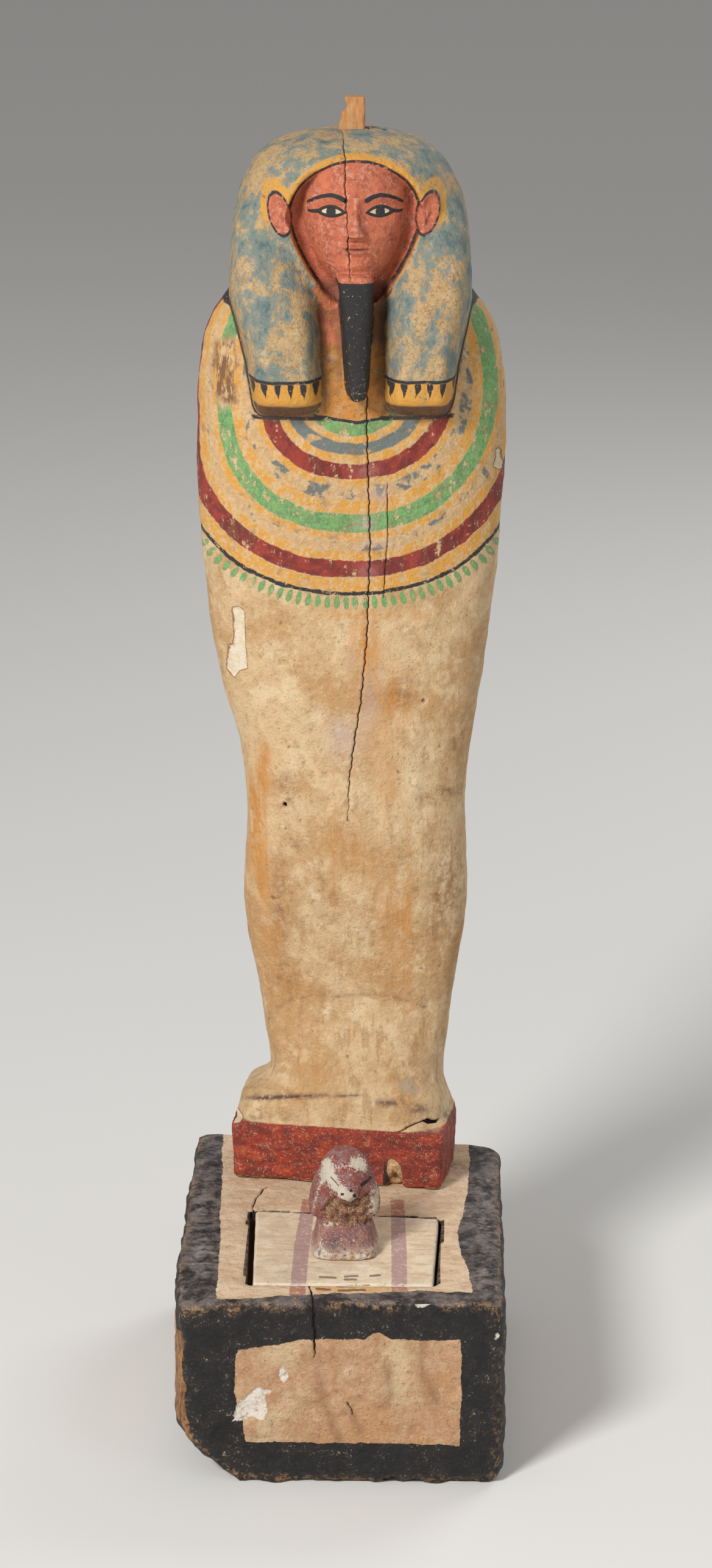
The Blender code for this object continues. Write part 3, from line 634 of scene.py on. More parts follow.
def face_ink(x, level):
    """Distance into the black lines of the eyes and brows."""
    brow = [(0.95, -0.12), (1.5, 0.2), (2.2, 0.36), (3.0, 0.2), (3.7, -0.12), (4.3, -0.5)]
    brow = [(across, BROW_LEVEL + rise) for across, rise in brow]
    outer = EYE_SPACING + EYE_HALF_WIDTH
    tail = [(-0.15, 0.05), (0.5, -0.06), (1.35, -0.1)]
    tail = [(outer + across, EYE_LEVEL + rise) for across, rise in tail]
    eye = eye_field(x, level)
    iris = IRIS_RADIUS - np.hypot(np.abs(x) - EYE_SPACING, level - EYE_LEVEL - 0.04)
    rim = 0.15 - np.abs(eye + 0.03)
    return np.maximum.reduce([
        stroke_field(x, level, brow, 0.23), stroke_field(x, level, tail, 0.2),
        rim, np.minimum(iris, eye + 0.05),
    ])


def refine_figure(piece):
    """Evens the body and wig, and cuts the fine parts smaller."""
    points = coordinates(piece)
    ends = edge_ends(piece)
    held = softened(creases(piece, 13, 2), ends, 2)
    across, along, level = stand_out(points)
    front = normals(piece)[:, 1] < 0.3
    in_face = front & (opening_gauge(across, level) < 1.0) & (level > 87.0)
    held = np.maximum(held, in_face)
    held = np.maximum(held, ease(level, BLOCK_LEVEL + 1.5, BLOCK_LEVEL))
    relax(piece, 60, 0.5 * (1 - np.clip(held, 0, 1)))
    relax(piece, 3, 0.45 * ease(level, BLOCK_LEVEL - 0.6, BLOCK_LEVEL + 0.8) + 0.1)
    for reach in CUT_REACHES:
        points = coordinates(piece)
        across, along, level = stand_out(points)
        u, v = seen_at(points)
        facing = normals(piece)
        shown = facing[:, 1] < 0.25
        fine = (opening_gauge(across, level) < 0.98) & (level > 87.2) & (along < -4.5)
        fine |= (np.abs(across - FACE_SHIFT) < 2.0) & (level > 76.2) & (level < 88.6) & (along < -7.2)
        fine |= (ear_gauge(across, level) < 1.15) & (along < -4.4)
        fine |= nearest_path(u, v, FINE_CRACKS) < reach
        for corners in (LEFT_LOSS_PIXELS, TOE_HOLE_PIXELS, TOE_CHIP_PIXELS):
            fine |= np.abs(polygon_field(u, v, corners)) < reach
        fine |= np.hypot(u - WORM_HOLE[0], v - WORM_HOLE[1]) < reach + WORM_HOLE[2]
        subdivide_near(piece, fine & shown)
    level = (coordinates(piece)[:, 2] - FOOT_Z) / UNIT
    relax(piece, 2, 0.35 * ease(level, BLOCK_LEVEL - 0.6, BLOCK_LEVEL + 0.8))


def carve_face(piece):
    """Sets the vertices of the face on its carved surface."""
    points = coordinates(piece)
    across, along, level = stand_out(points)
    middle = across - FACE_SHIFT
    half_width, front = row_values(FACE, level)
    share = np.clip(1 - np.abs(middle / half_width) ** FACE_SQUARENESS, 1e-4, 1)
    surface = FACE_CENTRE - (front + FACE_CENTRE) * share ** (1 / FACE_SQUARENESS)
    fade = np.sqrt(np.sqrt(share))
    surface -= face_relief(middle, level) * fade
    weight = ease(share, 0.12, 0.5) * ease(level, 87.4, 88.4)
    weight *= 1 - ease(opening_gauge(across, level), 0.86, 0.97)
    weight *= (along < -5.0) * (normals(piece)[:, 1] < 0.2)
    on_beard = (np.abs(middle) < 1.9) & (level < 87.95) & (along < -8.2)
    weight *= np.where(on_beard, 0.0, 1.0)
    turn = np.radians(row_values(STANCE, level)[0])
    push = (surface - along) * weight * UNIT
    points[:, 0] += -np.sin(turn) * push
    points[:, 1] += np.cos(turn) * push
    place_vertices(piece, points)


def carve_ears(piece):
    points = coordinates(piece)
    across, along, level = stand_out(points)
    gauge = ear_gauge(across, level)
    hollow = np.exp(-((gauge - 0.35) / 0.28) ** 2) * (along < -4.6)
    rim = np.exp(-((gauge - 0.85) / 0.14) ** 2) * (along < -4.6)
    push_out(piece, points, 0.5 * rim - 0.9 * hollow)


def shade_share(piece, points):
    """1 on faces that look towards the camera, 0 on hidden ones."""
    to_camera = np.array(CAMERA_PLACE) - points
    to_camera /= np.linalg.norm(to_camera, axis=1)[:, None]
    return ease((normals(piece) * to_camera).sum(axis=1), 0.02, 0.15)


def carve_figure_damage(piece):
    """Cracks, holes, losses and the unevenness of the plaster, and the marks they leave."""
    points = coordinates(piece)
    across, along, level = stand_out(points)
    u, v = seen_at(points)
    shown = shade_share(piece, points)
    on_beard = beard_field(across, along, level) > 0
    cracks = [
        (crack_field(u, v, FACE_CRACK_PIXELS, 0.7), level > 87.5),
        (crack_field(u, v, CHEST_CRACK_PIXELS, 0.85), level < 88.5),
        (crack_field(u, v, SECOND_CRACK_PIXELS, 0.5, 0.5), level < 88),
        (crack_field(u, v, CROWN_CRACK_PIXELS, 0.9), level > 90),
        (crack_field(u, v, TOE_CRACK_PIXELS, 0.7), level < 20),
        (crack_field(u, v, BLOCK_CRACK_PIXELS, 0.6), level < BLOCK_LEVEL + 0.5),
    ]
    crack = np.maximum.reduce(
        [np.where(there & ~on_beard, field, FAR_OUTSIDE) for field, there in cracks], initial=FAR_OUTSIDE,
    )
    holes = in_any(u, v, [TOE_HOLE_PIXELS])
    for hole_u, hole_v, radius in (WORM_HOLE, *SMALL_HOLES):
        holes = np.maximum(holes, radius - np.hypot(u - hole_u, v - hole_v))
    crack, holes = where_seen(crack, shown), where_seen(holes, shown)
    outlines = (LEFT_LOSS_PIXELS, SHOULDER_LOSS_PIXELS, TOE_CHIP_PIXELS, KNEE_CHIP_PIXELS)
    loss = where_seen(in_any(u, v, outlines), shown)
    bare = where_seen(polygon_field(u, v, FOOT_BARE_PIXELS), shown)
    lump = polygon_field(u, v, NOTCH_LUMP_PIXELS)
    gap = polygon_field(u, v, NOTCH_GAP_PIXELS)
    depth = -1.5 * ease(crack, -1.3, 0.9)
    depth -= 3.5 * ease(holes, -1.0, 1.2)
    depth -= 0.9 * ease(loss, -0.6, 1.6) + 0.4 * ease(bare, -0.6, 1.6)
    depth += 1.2 * ease(lump, -1.0, 4.0) * (level < BLOCK_LEVEL) * shown
    depth += 0.6 * spots_field(u, v, PALE_SPOTS) * shown * (1 + lumps(points, 0.003, 31.0))
    depth -= 0.8 * spots_field(u, v, TOE_DIRT) * shown
    instep, _ = path_distance(u, v, INSTEP_LINE_PIXELS)
    depth -= 0.35 * np.exp(-((instep / 7) ** 2)) * shown
    plain = 1 - ease(level, 87.4, 88.4) * (opening_gauge(across, level) < 0.97)
    depth += plain * (0.42 * lumps(points, 0.028, 3.0) + 0.24 * lumps(points, 0.009, 8.0))
    depth += plain * 0.11 * lumps(points, 0.0038, 5.0)
    block = ease(level, BLOCK_LEVEL + 0.4, BLOCK_LEVEL - 0.4)
    depth += block * 0.3 * lumps(points, 0.005, 21.0)
    pits = np.maximum(lumps(points, 0.004, 37.0) - 0.98, 0)
    depth -= plain * 1.6 * pits
    push_out(piece, points, depth)
    on_block = (level < BLOCK_LEVEL) & (shown > SEEN)
    scratches = [crack_field(u, v, path, 0.8, 1.6) for path in (INSTEP_SCRATCH_PIXELS, *FOOT_SCRATCHES)]
    scratch = np.maximum.reduce(scratches, initial=FAR_OUTSIDE)
    mark_all(
        piece,
        crack=np.maximum(crack, holes) / PIXELS_PER_MM,
        loss=loss / PIXELS_PER_MM,
        bare=bare / PIXELS_PER_MM,
        lump=np.where(on_block, lump, FAR_OUTSIDE) / PIXELS_PER_MM,
        gap=np.where(on_block, gap, FAR_OUTSIDE) / PIXELS_PER_MM,
        scratch=where_seen(scratch, shown) / PIXELS_PER_MM,
        brown=(spots_field(u, v, BROWN_STAINS) + 0.35 * np.exp(-((instep / 4) ** 2))) * shown,
        scrape=ease(polygon_field(u, v, LEFT_SCRAPE_PIXELS), -8, 10) * shown,
    )
    for name, spots in SPOT_MARKS.items():
        mark(piece, name, spots_field(u, v, spots) * shown)


def beard_field(across, along, level):
    """Millimetres into the beard's surfaces, negative on the chest and the chin."""
    half_width, front = row_values(BEARD, level)
    reach = np.where(along < BEARD_CENTRE, front + BEARD_CENTRE, BEARD_BACK)
    power = np.abs((across - FACE_SHIFT) / half_width) ** BEARD_SQUARENESS
    power += np.abs((along - BEARD_CENTRE) / reach) ** BEARD_SQUARENESS
    gauge = power ** (1 / BEARD_SQUARENESS)
    field = (1.14 - gauge) * half_width
    field = np.minimum(field, BEARD_TOP - level)
    return np.minimum(field, level - 76.3) * UNIT / MM


def collar_ring(across, level):
    """Millimetres from the throat to the collar's band that runs through a point."""
    over = np.maximum(level - COLLAR_LEVEL, 0)
    width = row_values(CHEST, level)[0] / row_values(CHEST, np.full(level.shape, COLLAR_LEVEL))[0]
    side = np.abs(across) / np.where(over > 0, np.maximum(width, 0.3), 1.0) * UNIT / MM
    side *= 1 - COLLAR_LEAN * np.sign(across) * ease(level, 66, 76)
    drop = np.maximum(COLLAR_LEVEL - level, 0) * UNIT / MM
    spread_at = [row[0] for row in COLLAR_SPREAD]
    spread_by = [row[1] for row in COLLAR_SPREAD]
    ring = np.hypot(side, drop)
    for _ in range(4):
        pull = COLLAR_PULL * ease(level, 67, 75) * ease(ring, 62, 80)
        wide = side / (np.interp(ring, spread_at, spread_by) * (1 - pull))
        ring = (wide ** COLLAR_SQUARENESS + drop ** COLLAR_SQUARENESS) ** (1 / COLLAR_SQUARENESS)
    return ring, np.arctan2(side, drop)


def mark_figure_paint(piece):
    points = coordinates(piece)
    across, along, level = stand_out(points)
    chest = chest_gauge(across, along, level)
    wig = wig_gauge(across, along, level)
    opening = opening_gauge(across, level)
    ear = ear_gauge(across, level)
    wig_mm = (chest - wig) * WIG_STEP_MM
    round_face = (opening - 1.0) * OPENING_HALF_WIDTH * UNIT / MM
    inside_view = (along < -4.6) & (level > 84.0)
    hair = np.where(inside_view, np.minimum(wig_mm, round_face), wig_mm)
    inner, outer, _, _ = row_values(LAPPET, level)
    throat = (np.abs(across) < inner) & (opening >= 1.0) & (level < 86.5) & (along < -3.0)
    hair = np.where(throat, -6.0, hair)
    on_front = along < -4.4
    face = (opening < 0.97) & (level > 87.5) & (along < -6.0)
    middle = across - FACE_SHIFT
    lips = 0.5 - np.hypot(middle / 2.6, (level - MOUTH_LEVEL) / 1.0)
    ring, turn = collar_ring(across, level)
    behind = ease(along, COLLAR_BACK_EDGE - 0.8, COLLAR_BACK_EDGE + 0.8)
    ring = ring / COLLAR_STRETCH + np.maximum(along + 0.8, 0) * UNIT / MM
    neckline = (level - NECKLINE_LEVEL - NECKLINE_RISE * np.abs(middle)) * UNIT / MM
    mark_all(
        piece,
        level=level,
        across=across,
        hair=np.clip(hair, -20, 20),
        round_face=np.where(along < -4.0, round_face, 30.0),
        ear=np.where(on_front & (level > 90), (1 - ear) * EAR_SIZE[0] * UNIT / MM, -20.0),
        flesh=np.where(on_front & (opening < 1.02), (level - 84.6) * UNIT / MM, -20.0),
        beard=beard_field(across, along, level),
        ink=np.where(face, face_ink(middle, level), -3.0) * UNIT / MM,
        eye=np.where(face, eye_field(middle, level), -3.0) * UNIT / MM,
        lips=np.where(face, lips, -3.0),
        lappet_across=(np.abs(across) - inner) / (outer - inner),
        ring=ring + PAST_COLLAR * behind,
        neckline=np.where(np.abs(across) < inner + 0.6, neckline, -20.0),
        pendant=turn * PENDANT_RING / PENDANT_STEP,
        hollow=hollowness(piece, 6),
    )


# Plinth, lid, falcon and tongue: marks by the photograph's pixels
TOP_PANEL_PIXELS = [
    (355, 2135), (359, 2072), (362, 2028), (361, 1992), (364, 1961), (365, 1894), (367, 1855), (768, 1872),
    (772, 1907), (768, 1952), (763, 1983), (751, 2019), (754, 2050), (770, 2090), (777, 2124), (700, 2121),
    (640, 2123), (560, 2125), (480, 2127), (420, 2133),
]
FRONT_PANEL_PIXELS = [
    (389, 2219), (430, 2213), (470, 2206), (500, 2200), (600, 2201), (612, 2190), (624, 2189), (640, 2200),
    (700, 2203), (757, 2199), (758, 2300), (754, 2374), (640, 2371), (540, 2371), (402, 2368), (398, 2330),
    (384, 2290),
]
PLINTH_CRACK_PIXELS = [(507, 2108), (514, 2135), (515, 2160), (517, 2195), (516, 2232)]
BACK_CRACK_PIXELS = [(414, 1985), (421, 1968), (432, 1952), (440, 1948)]
SLOT_CRACK_PIXELS = [(413, 2000), (416, 1985)]
PANEL_CRACK_PIXELS = [(570, 2304), (576, 2315), (579, 2326)]
# Paths and half widths
PLINTH_CRACKS = (
    (PLINTH_CRACK_PIXELS, 1.6), (BACK_CRACK_PIXELS, 1.0), (SLOT_CRACK_PIXELS, 1.5), (PANEL_CRACK_PIXELS, 0.9),
)
LID_MARGIN = 0.005
WHITE_CHIP_PIXELS = [(681, 2142), (688, 2137), (702, 2136), (708, 2141), (697, 2149), (686, 2150)]
SMALL_CHIP_PIXELS = [(813, 2192), (818, 2188), (819, 2200), (814, 2202)]
PLASTER_PATCH_PIXELS = [
    (380, 2337), (388, 2310), (405, 2292), (424, 2278), (447, 2284), (436, 2296), (438, 2318), (430, 2334),
    (410, 2326), (396, 2334),
]
GREY_PATCH_PIXELS = [(457, 2262), (462, 2238), (470, 2254), (476, 2264), (466, 2272)]
LEFT_WEAR_PIXELS = [
    (288, 2185), (296, 2190), (299, 2240), (304, 2300), (312, 2345), (316, 2372), (300, 2350), (286, 2300),
]
# Painted shade on the plinth's top beside the foot of the red block
PLINTH_SHADE_SPOTS = ((640, 1916, 6, 14, 0.8), (745, 1915, 16, 7, 1.0), (765, 1922, 10, 5, 0.6))
PLINTH_STREAKS = (
    [(520, 2258), (540, 2330), (556, 2366)], [(634, 2240), (640, 2290), (634, 2310)],
    [(690, 2240), (706, 2282), (716, 2300)], [(580, 2330), (590, 2350)], [(700, 2190), (690, 2240)],
)
SHEEN_SPOTS = (
    (335, 2060, 20, 22, 1.0), (330, 1960, 22, 60, 0.5), (795, 1990, 18, 60, 0.5), (790, 2100, 24, 20, 0.5),
)
# Stripe centres: v, left u, right u, half width
STRIPES = ((1890, 517, 650, 9), (1965, 509, 652, 11), (2045, 496, 655, 13), (2128, 488, 656, 13))
LID_DASHES = (
    ((525, 2098), (551, 2099)), ((566, 2097), (588, 2096)), ((607, 2096), (624, 2095)),
    ((566, 2102), (585, 2102)), ((520, 2117), (542, 2119)), ((553, 2113), (606, 2112)),
    ((556, 2120), (600, 2119)),
)
DASH_HALF_WIDTH = 1.9
YELLOW_STRIP_PIXELS = [(514, 2112), (560, 2108), (640, 2106), (643, 2120), (600, 2125), (520, 2127)]


# Borders of the hidden panels, in mm
PANEL_RISE = 19.0
PANEL_INSET = 24.0


def plinth_panels(points, facing, u, v):
    """Millimetres into the cream panels, negative on the black borders between them."""
    low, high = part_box("plinth")
    top = polygon_field(u, v, TOP_PANEL_PIXELS) / PIXELS_PER_MM
    front = polygon_field(u, v, FRONT_PANEL_PIXELS) / PIXELS_PER_MM
    rise = np.minimum(points[:, 2] - low.z, high.z - points[:, 2]) / MM
    wide = np.minimum(points[:, 0] - low.x, high.x - points[:, 0]) / MM
    deep = np.minimum(points[:, 1] - low.y, high.y - points[:, 1]) / MM
    side = np.minimum(rise - PANEL_RISE, deep - PANEL_INSET)
    back = np.minimum(rise - PANEL_RISE, wide - PANEL_INSET)
    panels = np.full(len(points), -20.0)
    panels = np.where(facing[:, 2] > 0.55, top, panels)
    panels = np.where(facing[:, 1] < -0.6, front, panels)
    panels = np.where(np.abs(facing[:, 0]) > 0.6, side, panels)
    return np.where(facing[:, 1] > 0.6, back, panels)


def stripe_field(u, v):
    """Millimetres into the two lengthwise stripes, negative beside them."""
    rows = np.array(STRIPES)
    left, right, half_width = row_values(rows, v)
    nearest = np.minimum(np.abs(u - left), np.abs(u - right))
    return (half_width - nearest) / PIXELS_PER_MM


def dash_field(u, v):
    return (DASH_HALF_WIDTH - nearest_path(u, v, LID_DASHES)) / PIXELS_PER_MM


def slot_nearness(points):
    """1 along the lid's outline in the top of the plinth, 0 away from it."""
    low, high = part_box("compartment_lid")
    _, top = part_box("plinth")
    wide = np.maximum(low.x - points[:, 0], points[:, 0] - high.x)
    deep = np.maximum(low.y - points[:, 1], points[:, 1] - high.y)
    away = np.abs(np.maximum(wide, deep))
    return ease(away, 0.009, 0.005) * (points[:, 2] > top.z - 0.012)


def refine_plinth(piece):
    """Evens the faces between their edges, and cuts cracks, chips and dashes smaller."""
    held = softened(creases(piece, 20, 1), edge_ends(piece), 1)
    relax(piece, 8, 0.5 * (1 - np.clip(held, 0, 1)))
    relax(piece, 2, 0.4 * (1 - slot_nearness(coordinates(piece))))
    for reach in CUT_REACHES:
        u, v = seen_at(coordinates(piece))
        facing = normals(piece)
        shown = (facing[:, 1] < -0.3) | (facing[:, 2] > 0.4)
        fine = nearest_path(u, v, [path for path, _ in PLINTH_CRACKS]) < reach
        for corners in (WHITE_CHIP_PIXELS, PLASTER_PATCH_PIXELS, SMALL_CHIP_PIXELS):
            fine |= np.abs(polygon_field(u, v, corners)) < reach
        if reach == CUT_REACHES[0]:
            fine |= dash_field(u, v) > -1.5
        subdivide_near(piece, fine & shown)


def in_compartment(points):
    """Whether points are on the hollow's walls and floor, below the lid's opening."""
    low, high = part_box("plinth")
    lid_low, lid_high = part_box("compartment_lid")
    within = (points[:, 0] > lid_low.x - LID_MARGIN) & (points[:, 0] < lid_high.x + LID_MARGIN)
    within &= (points[:, 1] > lid_low.y - LID_MARGIN) & (points[:, 1] < lid_high.y + LID_MARGIN)
    return within & (points[:, 2] < high.z - 0.004) & (points[:, 2] > low.z + 0.01)


def dress_plinth():
    piece = copy_of_node("plinth", "painted_plinth", PLINTH_GRAIN)
    refine_plinth(piece)
    points = coordinates(piece)
    facing = normals(piece)
    u, v = seen_at(points)
    shown = shade_share(piece, points)
    low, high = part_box("plinth")
    inside = in_compartment(points)
    wear = hollowness(piece, 8)
    crack = np.maximum.reduce([crack_field(u, v, *way) for way in PLINTH_CRACKS], initial=FAR_OUTSIDE)
    crack = np.where((shown > SEEN) & ~inside, crack, FAR_OUTSIDE)
    outlines = (WHITE_CHIP_PIXELS, PLASTER_PATCH_PIXELS, SMALL_CHIP_PIXELS, GREY_PATCH_PIXELS)
    loss = np.where((facing[:, 1] < -0.3) & ~inside, in_any(u, v, outlines), FAR_OUTSIDE)
    broken = np.maximum(-facing[:, 2] * 1.2, 0) * ease(points[:, 2], 0.046, 0.03) * (points[:, 1] < 0)
    broken *= ~inside & (points[:, 2] > low.z + 0.0004)
    upright = ease(facing[:, 2], 0.6, 0.2)
    coarse = 0.25 + upright * (0.3 + 0.35 * ease(points[:, 0], 0.0, -0.06))
    depth = coarse * (0.9 * lumps(points, 0.014, 2.0) + 0.8 * lumps(points, 0.0055, 6.0))
    edge = ease(-wear, 0.08, 0.35) * (0.4 + 0.6 * upright)
    depth -= edge * (0.3 + 1.1 * np.maximum(lumps(points, 0.009, 17.0), 0))
    depth = np.where(inside, 0.0, depth * (1 - slot_nearness(points)))
    depth += np.where(inside, 0.0, broken * 1.4 * lumps(points, 0.007, 12.0))
    depth -= 1.6 * ease(crack, -1.6, 1.0) + 0.7 * ease(loss, -0.6, 1.4)
    depth = np.where(points[:, 2] < low.z + 0.0006, 0.0, depth)
    push_out(piece, points, depth, low.z, high.z)
    on_top, on_front = facing[:, 2] > 0.5, points[:, 1] < 0.02
    left_face = (facing[:, 0] < -0.6) & (points[:, 1] < low.y + 0.05)
    left_face &= (points[:, 2] > 0.03) & (points[:, 2] < 0.072)
    edge_wear = (low.y + 0.03 - points[:, 1]) / MM - 6 * np.abs(lumps(points, 0.02, 4.0))
    left_wear = where_seen(polygon_field(u, v, LEFT_WEAR_PIXELS), shown) / PIXELS_PER_MM
    strip = np.where(on_top, polygon_field(u, v, YELLOW_STRIP_PIXELS), FAR_OUTSIDE)
    streak = nearest_path(u, v, PLINTH_STREAKS)
    mark_all(
        piece,
        panel=np.clip(plinth_panels(points, facing, u, v), -20, 30),
        crack=crack / PIXELS_PER_MM,
        loss=loss / PIXELS_PER_MM,
        stripe=np.where((facing[:, 2] > 0.6) & on_front, stripe_field(u, v), -20.0),
        dash=np.where(on_top, dash_field(u, v), -20.0),
        yellow_strip=strip / PIXELS_PER_MM,
        bare=np.maximum(np.where(left_face, edge_wear, -20.0), left_wear),
        broken=broken,
        on_top=ease(facing[:, 2], 0.5, 0.75),
        inside=inside.astype(float),
        streak=np.exp(-((streak / 7) ** 2)) * shown,
        dark=spots_field(u, v, PLINTH_SHADE_SPOTS) * on_top,
        sheen=spots_field(u, v, SHEEN_SPOTS) * on_top,
        hollow=wear,
    )
    finish_piece(piece, plinth_paint(), "plinth")


def dress_lid():
    piece = copy_of_node("compartment_lid", "painted_lid", LID_GRAIN)
    relax(piece, 2, np.full(len(piece.data.vertices), 0.4))
    points = coordinates(piece)
    u, v = seen_at(points)
    top = normals(piece)[:, 2] > 0.5
    low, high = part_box("compartment_lid")
    edge = np.exp(-((high.z - points[:, 2]) / 0.002) ** 2)
    depth = 0.12 * lumps(points, 0.012, 4.0) + 0.1 * edge * lumps(points, 0.004, 7.0)
    depth = np.where(points[:, 2] < low.z + 0.001, 0.0, depth)
    push_out(piece, points, depth, highest=high.z)
    mark_all(
        piece,
        stripe=np.where(top, stripe_field(u, v), -20.0),
        dash=np.where(top, dash_field(u, v), -20.0),
        hollow=hollowness(piece, 8),
    )
    finish_piece(piece, lid_paint(), "compartment_lid")


FALCON_LOSSES = (
    (586, 1910, 15, 12, 0.9), (598, 1920, 8, 8, 0.5), (560, 1915, 8, 6, 0.3), (573, 1966, 9, 6, 0.8),
    (528, 1936, 6, 14, 0.6), (619, 1965, 6, 26, 0.8), (616, 1996, 5, 18, 0.5), (528, 2046, 6, 14, 0.5),
    (543, 2012, 16, 3, 0.7), (590, 2011, 12, 3, 0.6), (586, 2064, 22, 5, 0.8), (533, 2060, 12, 5, 0.7),
)
FALCON_CHEEK_PIXELS = [(536, 1912), (541, 1930), (550, 1946), (562, 1958), (572, 1966)]
FALCON_RIGHT_EYE_PIXELS = [(594, 1947), (602, 1941), (609, 1934)]
FALCON_LEFT_EYE_PIXELS = [(543, 1934), (550, 1941), (556, 1948)]
FALCON_BEAK_PIXELS = [(566, 1958), (574, 1966), (583, 1962)]
FALCON_BEAK_DARK = ((562, 1962, 4, 3, 1.0), (581, 1964, 4, 4, 1.0), (576, 1956, 4, 3, 0.9))
FALCON_CHEST_PIXELS = [
    (524, 1990), (545, 1965), (575, 1975), (610, 1955), (618, 1985), (612, 2012), (575, 2022), (535, 2015),
]
FALCON_FOOT_BLOTCH = (
    (548, 2042, 14, 12, 1.0), (575, 2035, 14, 12, 0.7), (544, 2052, 8, 7, 0.8), (600, 2045, 8, 10, 0.3),
)
FALCON_WING_EDGE_LEFT = [(527, 1945), (519, 1970), (513, 1998), (519, 2006), (530, 2012)]
FALCON_WING_EDGE_RIGHT = [(612, 1950), (612, 1975), (610, 1998), (616, 2010)]


def dress_falcon():
    piece = copy_of_node("falcon", "painted_falcon", FALCON_GRAIN)
    relax(piece, 6, np.full(len(piece.data.vertices), 0.5))
    points = coordinates(piece)
    u, v = seen_at(points)
    shown = shade_share(piece, points)
    low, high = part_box("falcon")
    rise = (points[:, 2] - low.z) / (high.z - low.z)
    chest = np.where(normals(piece)[:, 1] < -0.1, polygon_field(u, v, FALCON_CHEST_PIXELS), FAR_OUTSIDE)
    wing_edge = nearest_path(u, v, (FALCON_WING_EDGE_LEFT, FALCON_WING_EDGE_RIGHT))
    cheek, _ = path_distance(u, v, FALCON_CHEEK_PIXELS)
    beak, _ = path_distance(u, v, FALCON_BEAK_PIXELS)
    right_eye, _ = path_distance(u, v, FALCON_RIGHT_EYE_PIXELS)
    left_eye, _ = path_distance(u, v, FALCON_LEFT_EYE_PIXELS)
    loss = (spots_field(u, v, FALCON_LOSSES) + 0.95 * np.exp(-((cheek / 11) ** 2))) * shown
    rough = ease(chest, -2, 5)
    hem = ease(rise, 0.16, 0.03)
    on_wings = shown * (rise > 0.35)
    depth = -1.5 * rough + rough * 1.1 * lumps(points, 0.0032, 3.0)
    depth += 0.5 * np.exp(-((wing_edge / 3.0) ** 2)) * on_wings
    depth += 0.3 * lumps(points, 0.006, 9.0) + 0.2 * lumps(points, 0.002, 5.0)
    depth += 0.8 * np.exp(-((beak / 5) ** 2)) * shown * (rise > 0.5)
    depth -= 0.25 * ease(loss, 0.35, 0.6)
    depth += hem * 0.5 * lumps(points, 0.003, 14.0)
    depth = np.where(points[:, 2] < low.z + 0.0006, np.minimum(depth, 0.0) * 0.3, depth)
    push_out(piece, points, depth, low.z, high.z)
    eyes = (2.4 - np.minimum(right_eye, left_eye + 1.2)) / PIXELS_PER_MM
    mark_all(
        piece,
        loss=loss,
        chest=np.where(rise > 0.3, chest, FAR_OUTSIDE) / PIXELS_PER_MM,
        wing_edge=np.exp(-((wing_edge / 2.2) ** 2)) * on_wings,
        eye_line=eyes + np.where(shown > SEEN, 0.0, -20.0),
        beak_dark=spots_field(u, v, FALCON_BEAK_DARK) * shown,
        blotch=spots_field(u, v, FALCON_FOOT_BLOTCH) * shown,
        hem=hem,
        rise=rise,
        hollow=hollowness(piece, 6),
    )
    finish_piece(piece, falcon_paint(), "falcon")


def dress_tenon():
    piece = copy_of_node("crown_tenon", "bare_crown_tenon", TENON_GRAIN)
    relax(piece, 3, np.full(len(piece.data.vertices), 0.45))
    points = coordinates(piece)
    _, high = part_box("crown_tenon")
    stretched = points * np.array([1.0, 1.0, 0.25])
    depth = 0.12 * lumps(stretched, 0.0012, 2.0) + 0.15 * lumps(points, 0.005, 6.0)
    push_out(piece, points, depth, highest=high.z)
    mark(piece, "hollow", hollowness(piece, 6))
    finish_piece(piece, tenon_wood(), "crown_tenon")


def dress_figure():
    piece = copy_of_node("figure", "painted_figure", FIGURE_GRAIN)
    refine_figure(piece)
    carve_face(piece)
    carve_ears(piece)
    carve_figure_damage(piece)
    mark_figure_paint(piece)
    thin_out(piece, FIGURE_SHARE_KEPT)
    finish_piece(piece, figure_paint(), "figure")


# Paint: shader nodes with short names
def tone(red, green, blue):
    """A linear colour from the 0 to 255 values of a paint chart."""
    linear = [((c / 255 + 0.055) / 1.055) ** 2.4 if c > 10 else c / 255 / 12.92 for c in (red, green, blue)]
    return (*linear, 1.0)


CREAM = tone(212, 180, 136)
PALE_CREAM = tone(226, 200, 160)
TAN = tone(190, 150, 102)
DEEP_TAN = tone(168, 126, 82)
OCHRE = tone(200, 134, 58)
YELLOW = tone(214, 152, 56)
WARM_BROWN = tone(128, 88, 54)
# Deep brown: the painted dashes and the darker wood inside the plinth, and also painted shade in creases,
# under the lappets and beside the red block
DEEP_BROWN_AND_SHADE = tone(88, 64, 48)
INK_BLACK = tone(44, 40, 42)
BEARD_BLACK = tone(34, 31, 31)
COLLAR_GREEN = tone(126, 170, 104)
DEEP_GREEN = tone(92, 136, 84)
COLLAR_RED = tone(152, 54, 40)
DARK_RED = tone(116, 38, 32)
BLOCK_RED = tone(162, 56, 32)
BLOCK_DARK_RED = tone(116, 42, 32)
BLOCK_ORANGE = tone(190, 84, 48)
FLESH_RED = tone(204, 112, 78)
FLESH_DEEP = tone(174, 82, 56)
FLESH_PALE = tone(226, 172, 140)
WIG_TAN = tone(186, 158, 112)
WIG_BLUE = tone(104, 130, 128)
WIG_TEAL = tone(68, 98, 102)
SLATE_BLUE = tone(90, 110, 112)
LILAC = tone(186, 160, 152)
PLASTER_WHITE = tone(226, 214, 194)
PLASTER_CREAM = tone(222, 200, 162)
EYE_WHITE = tone(216, 198, 158)
BORDER_BLACK = tone(17, 15, 16)
BORDER_WARM = tone(34, 29, 28)
BORDER_GREY = tone(146, 134, 128)
PANEL_TAN = tone(188, 144, 104)
PANEL_PINK = tone(206, 164, 126)
PANEL_BROWN = tone(138, 92, 62)
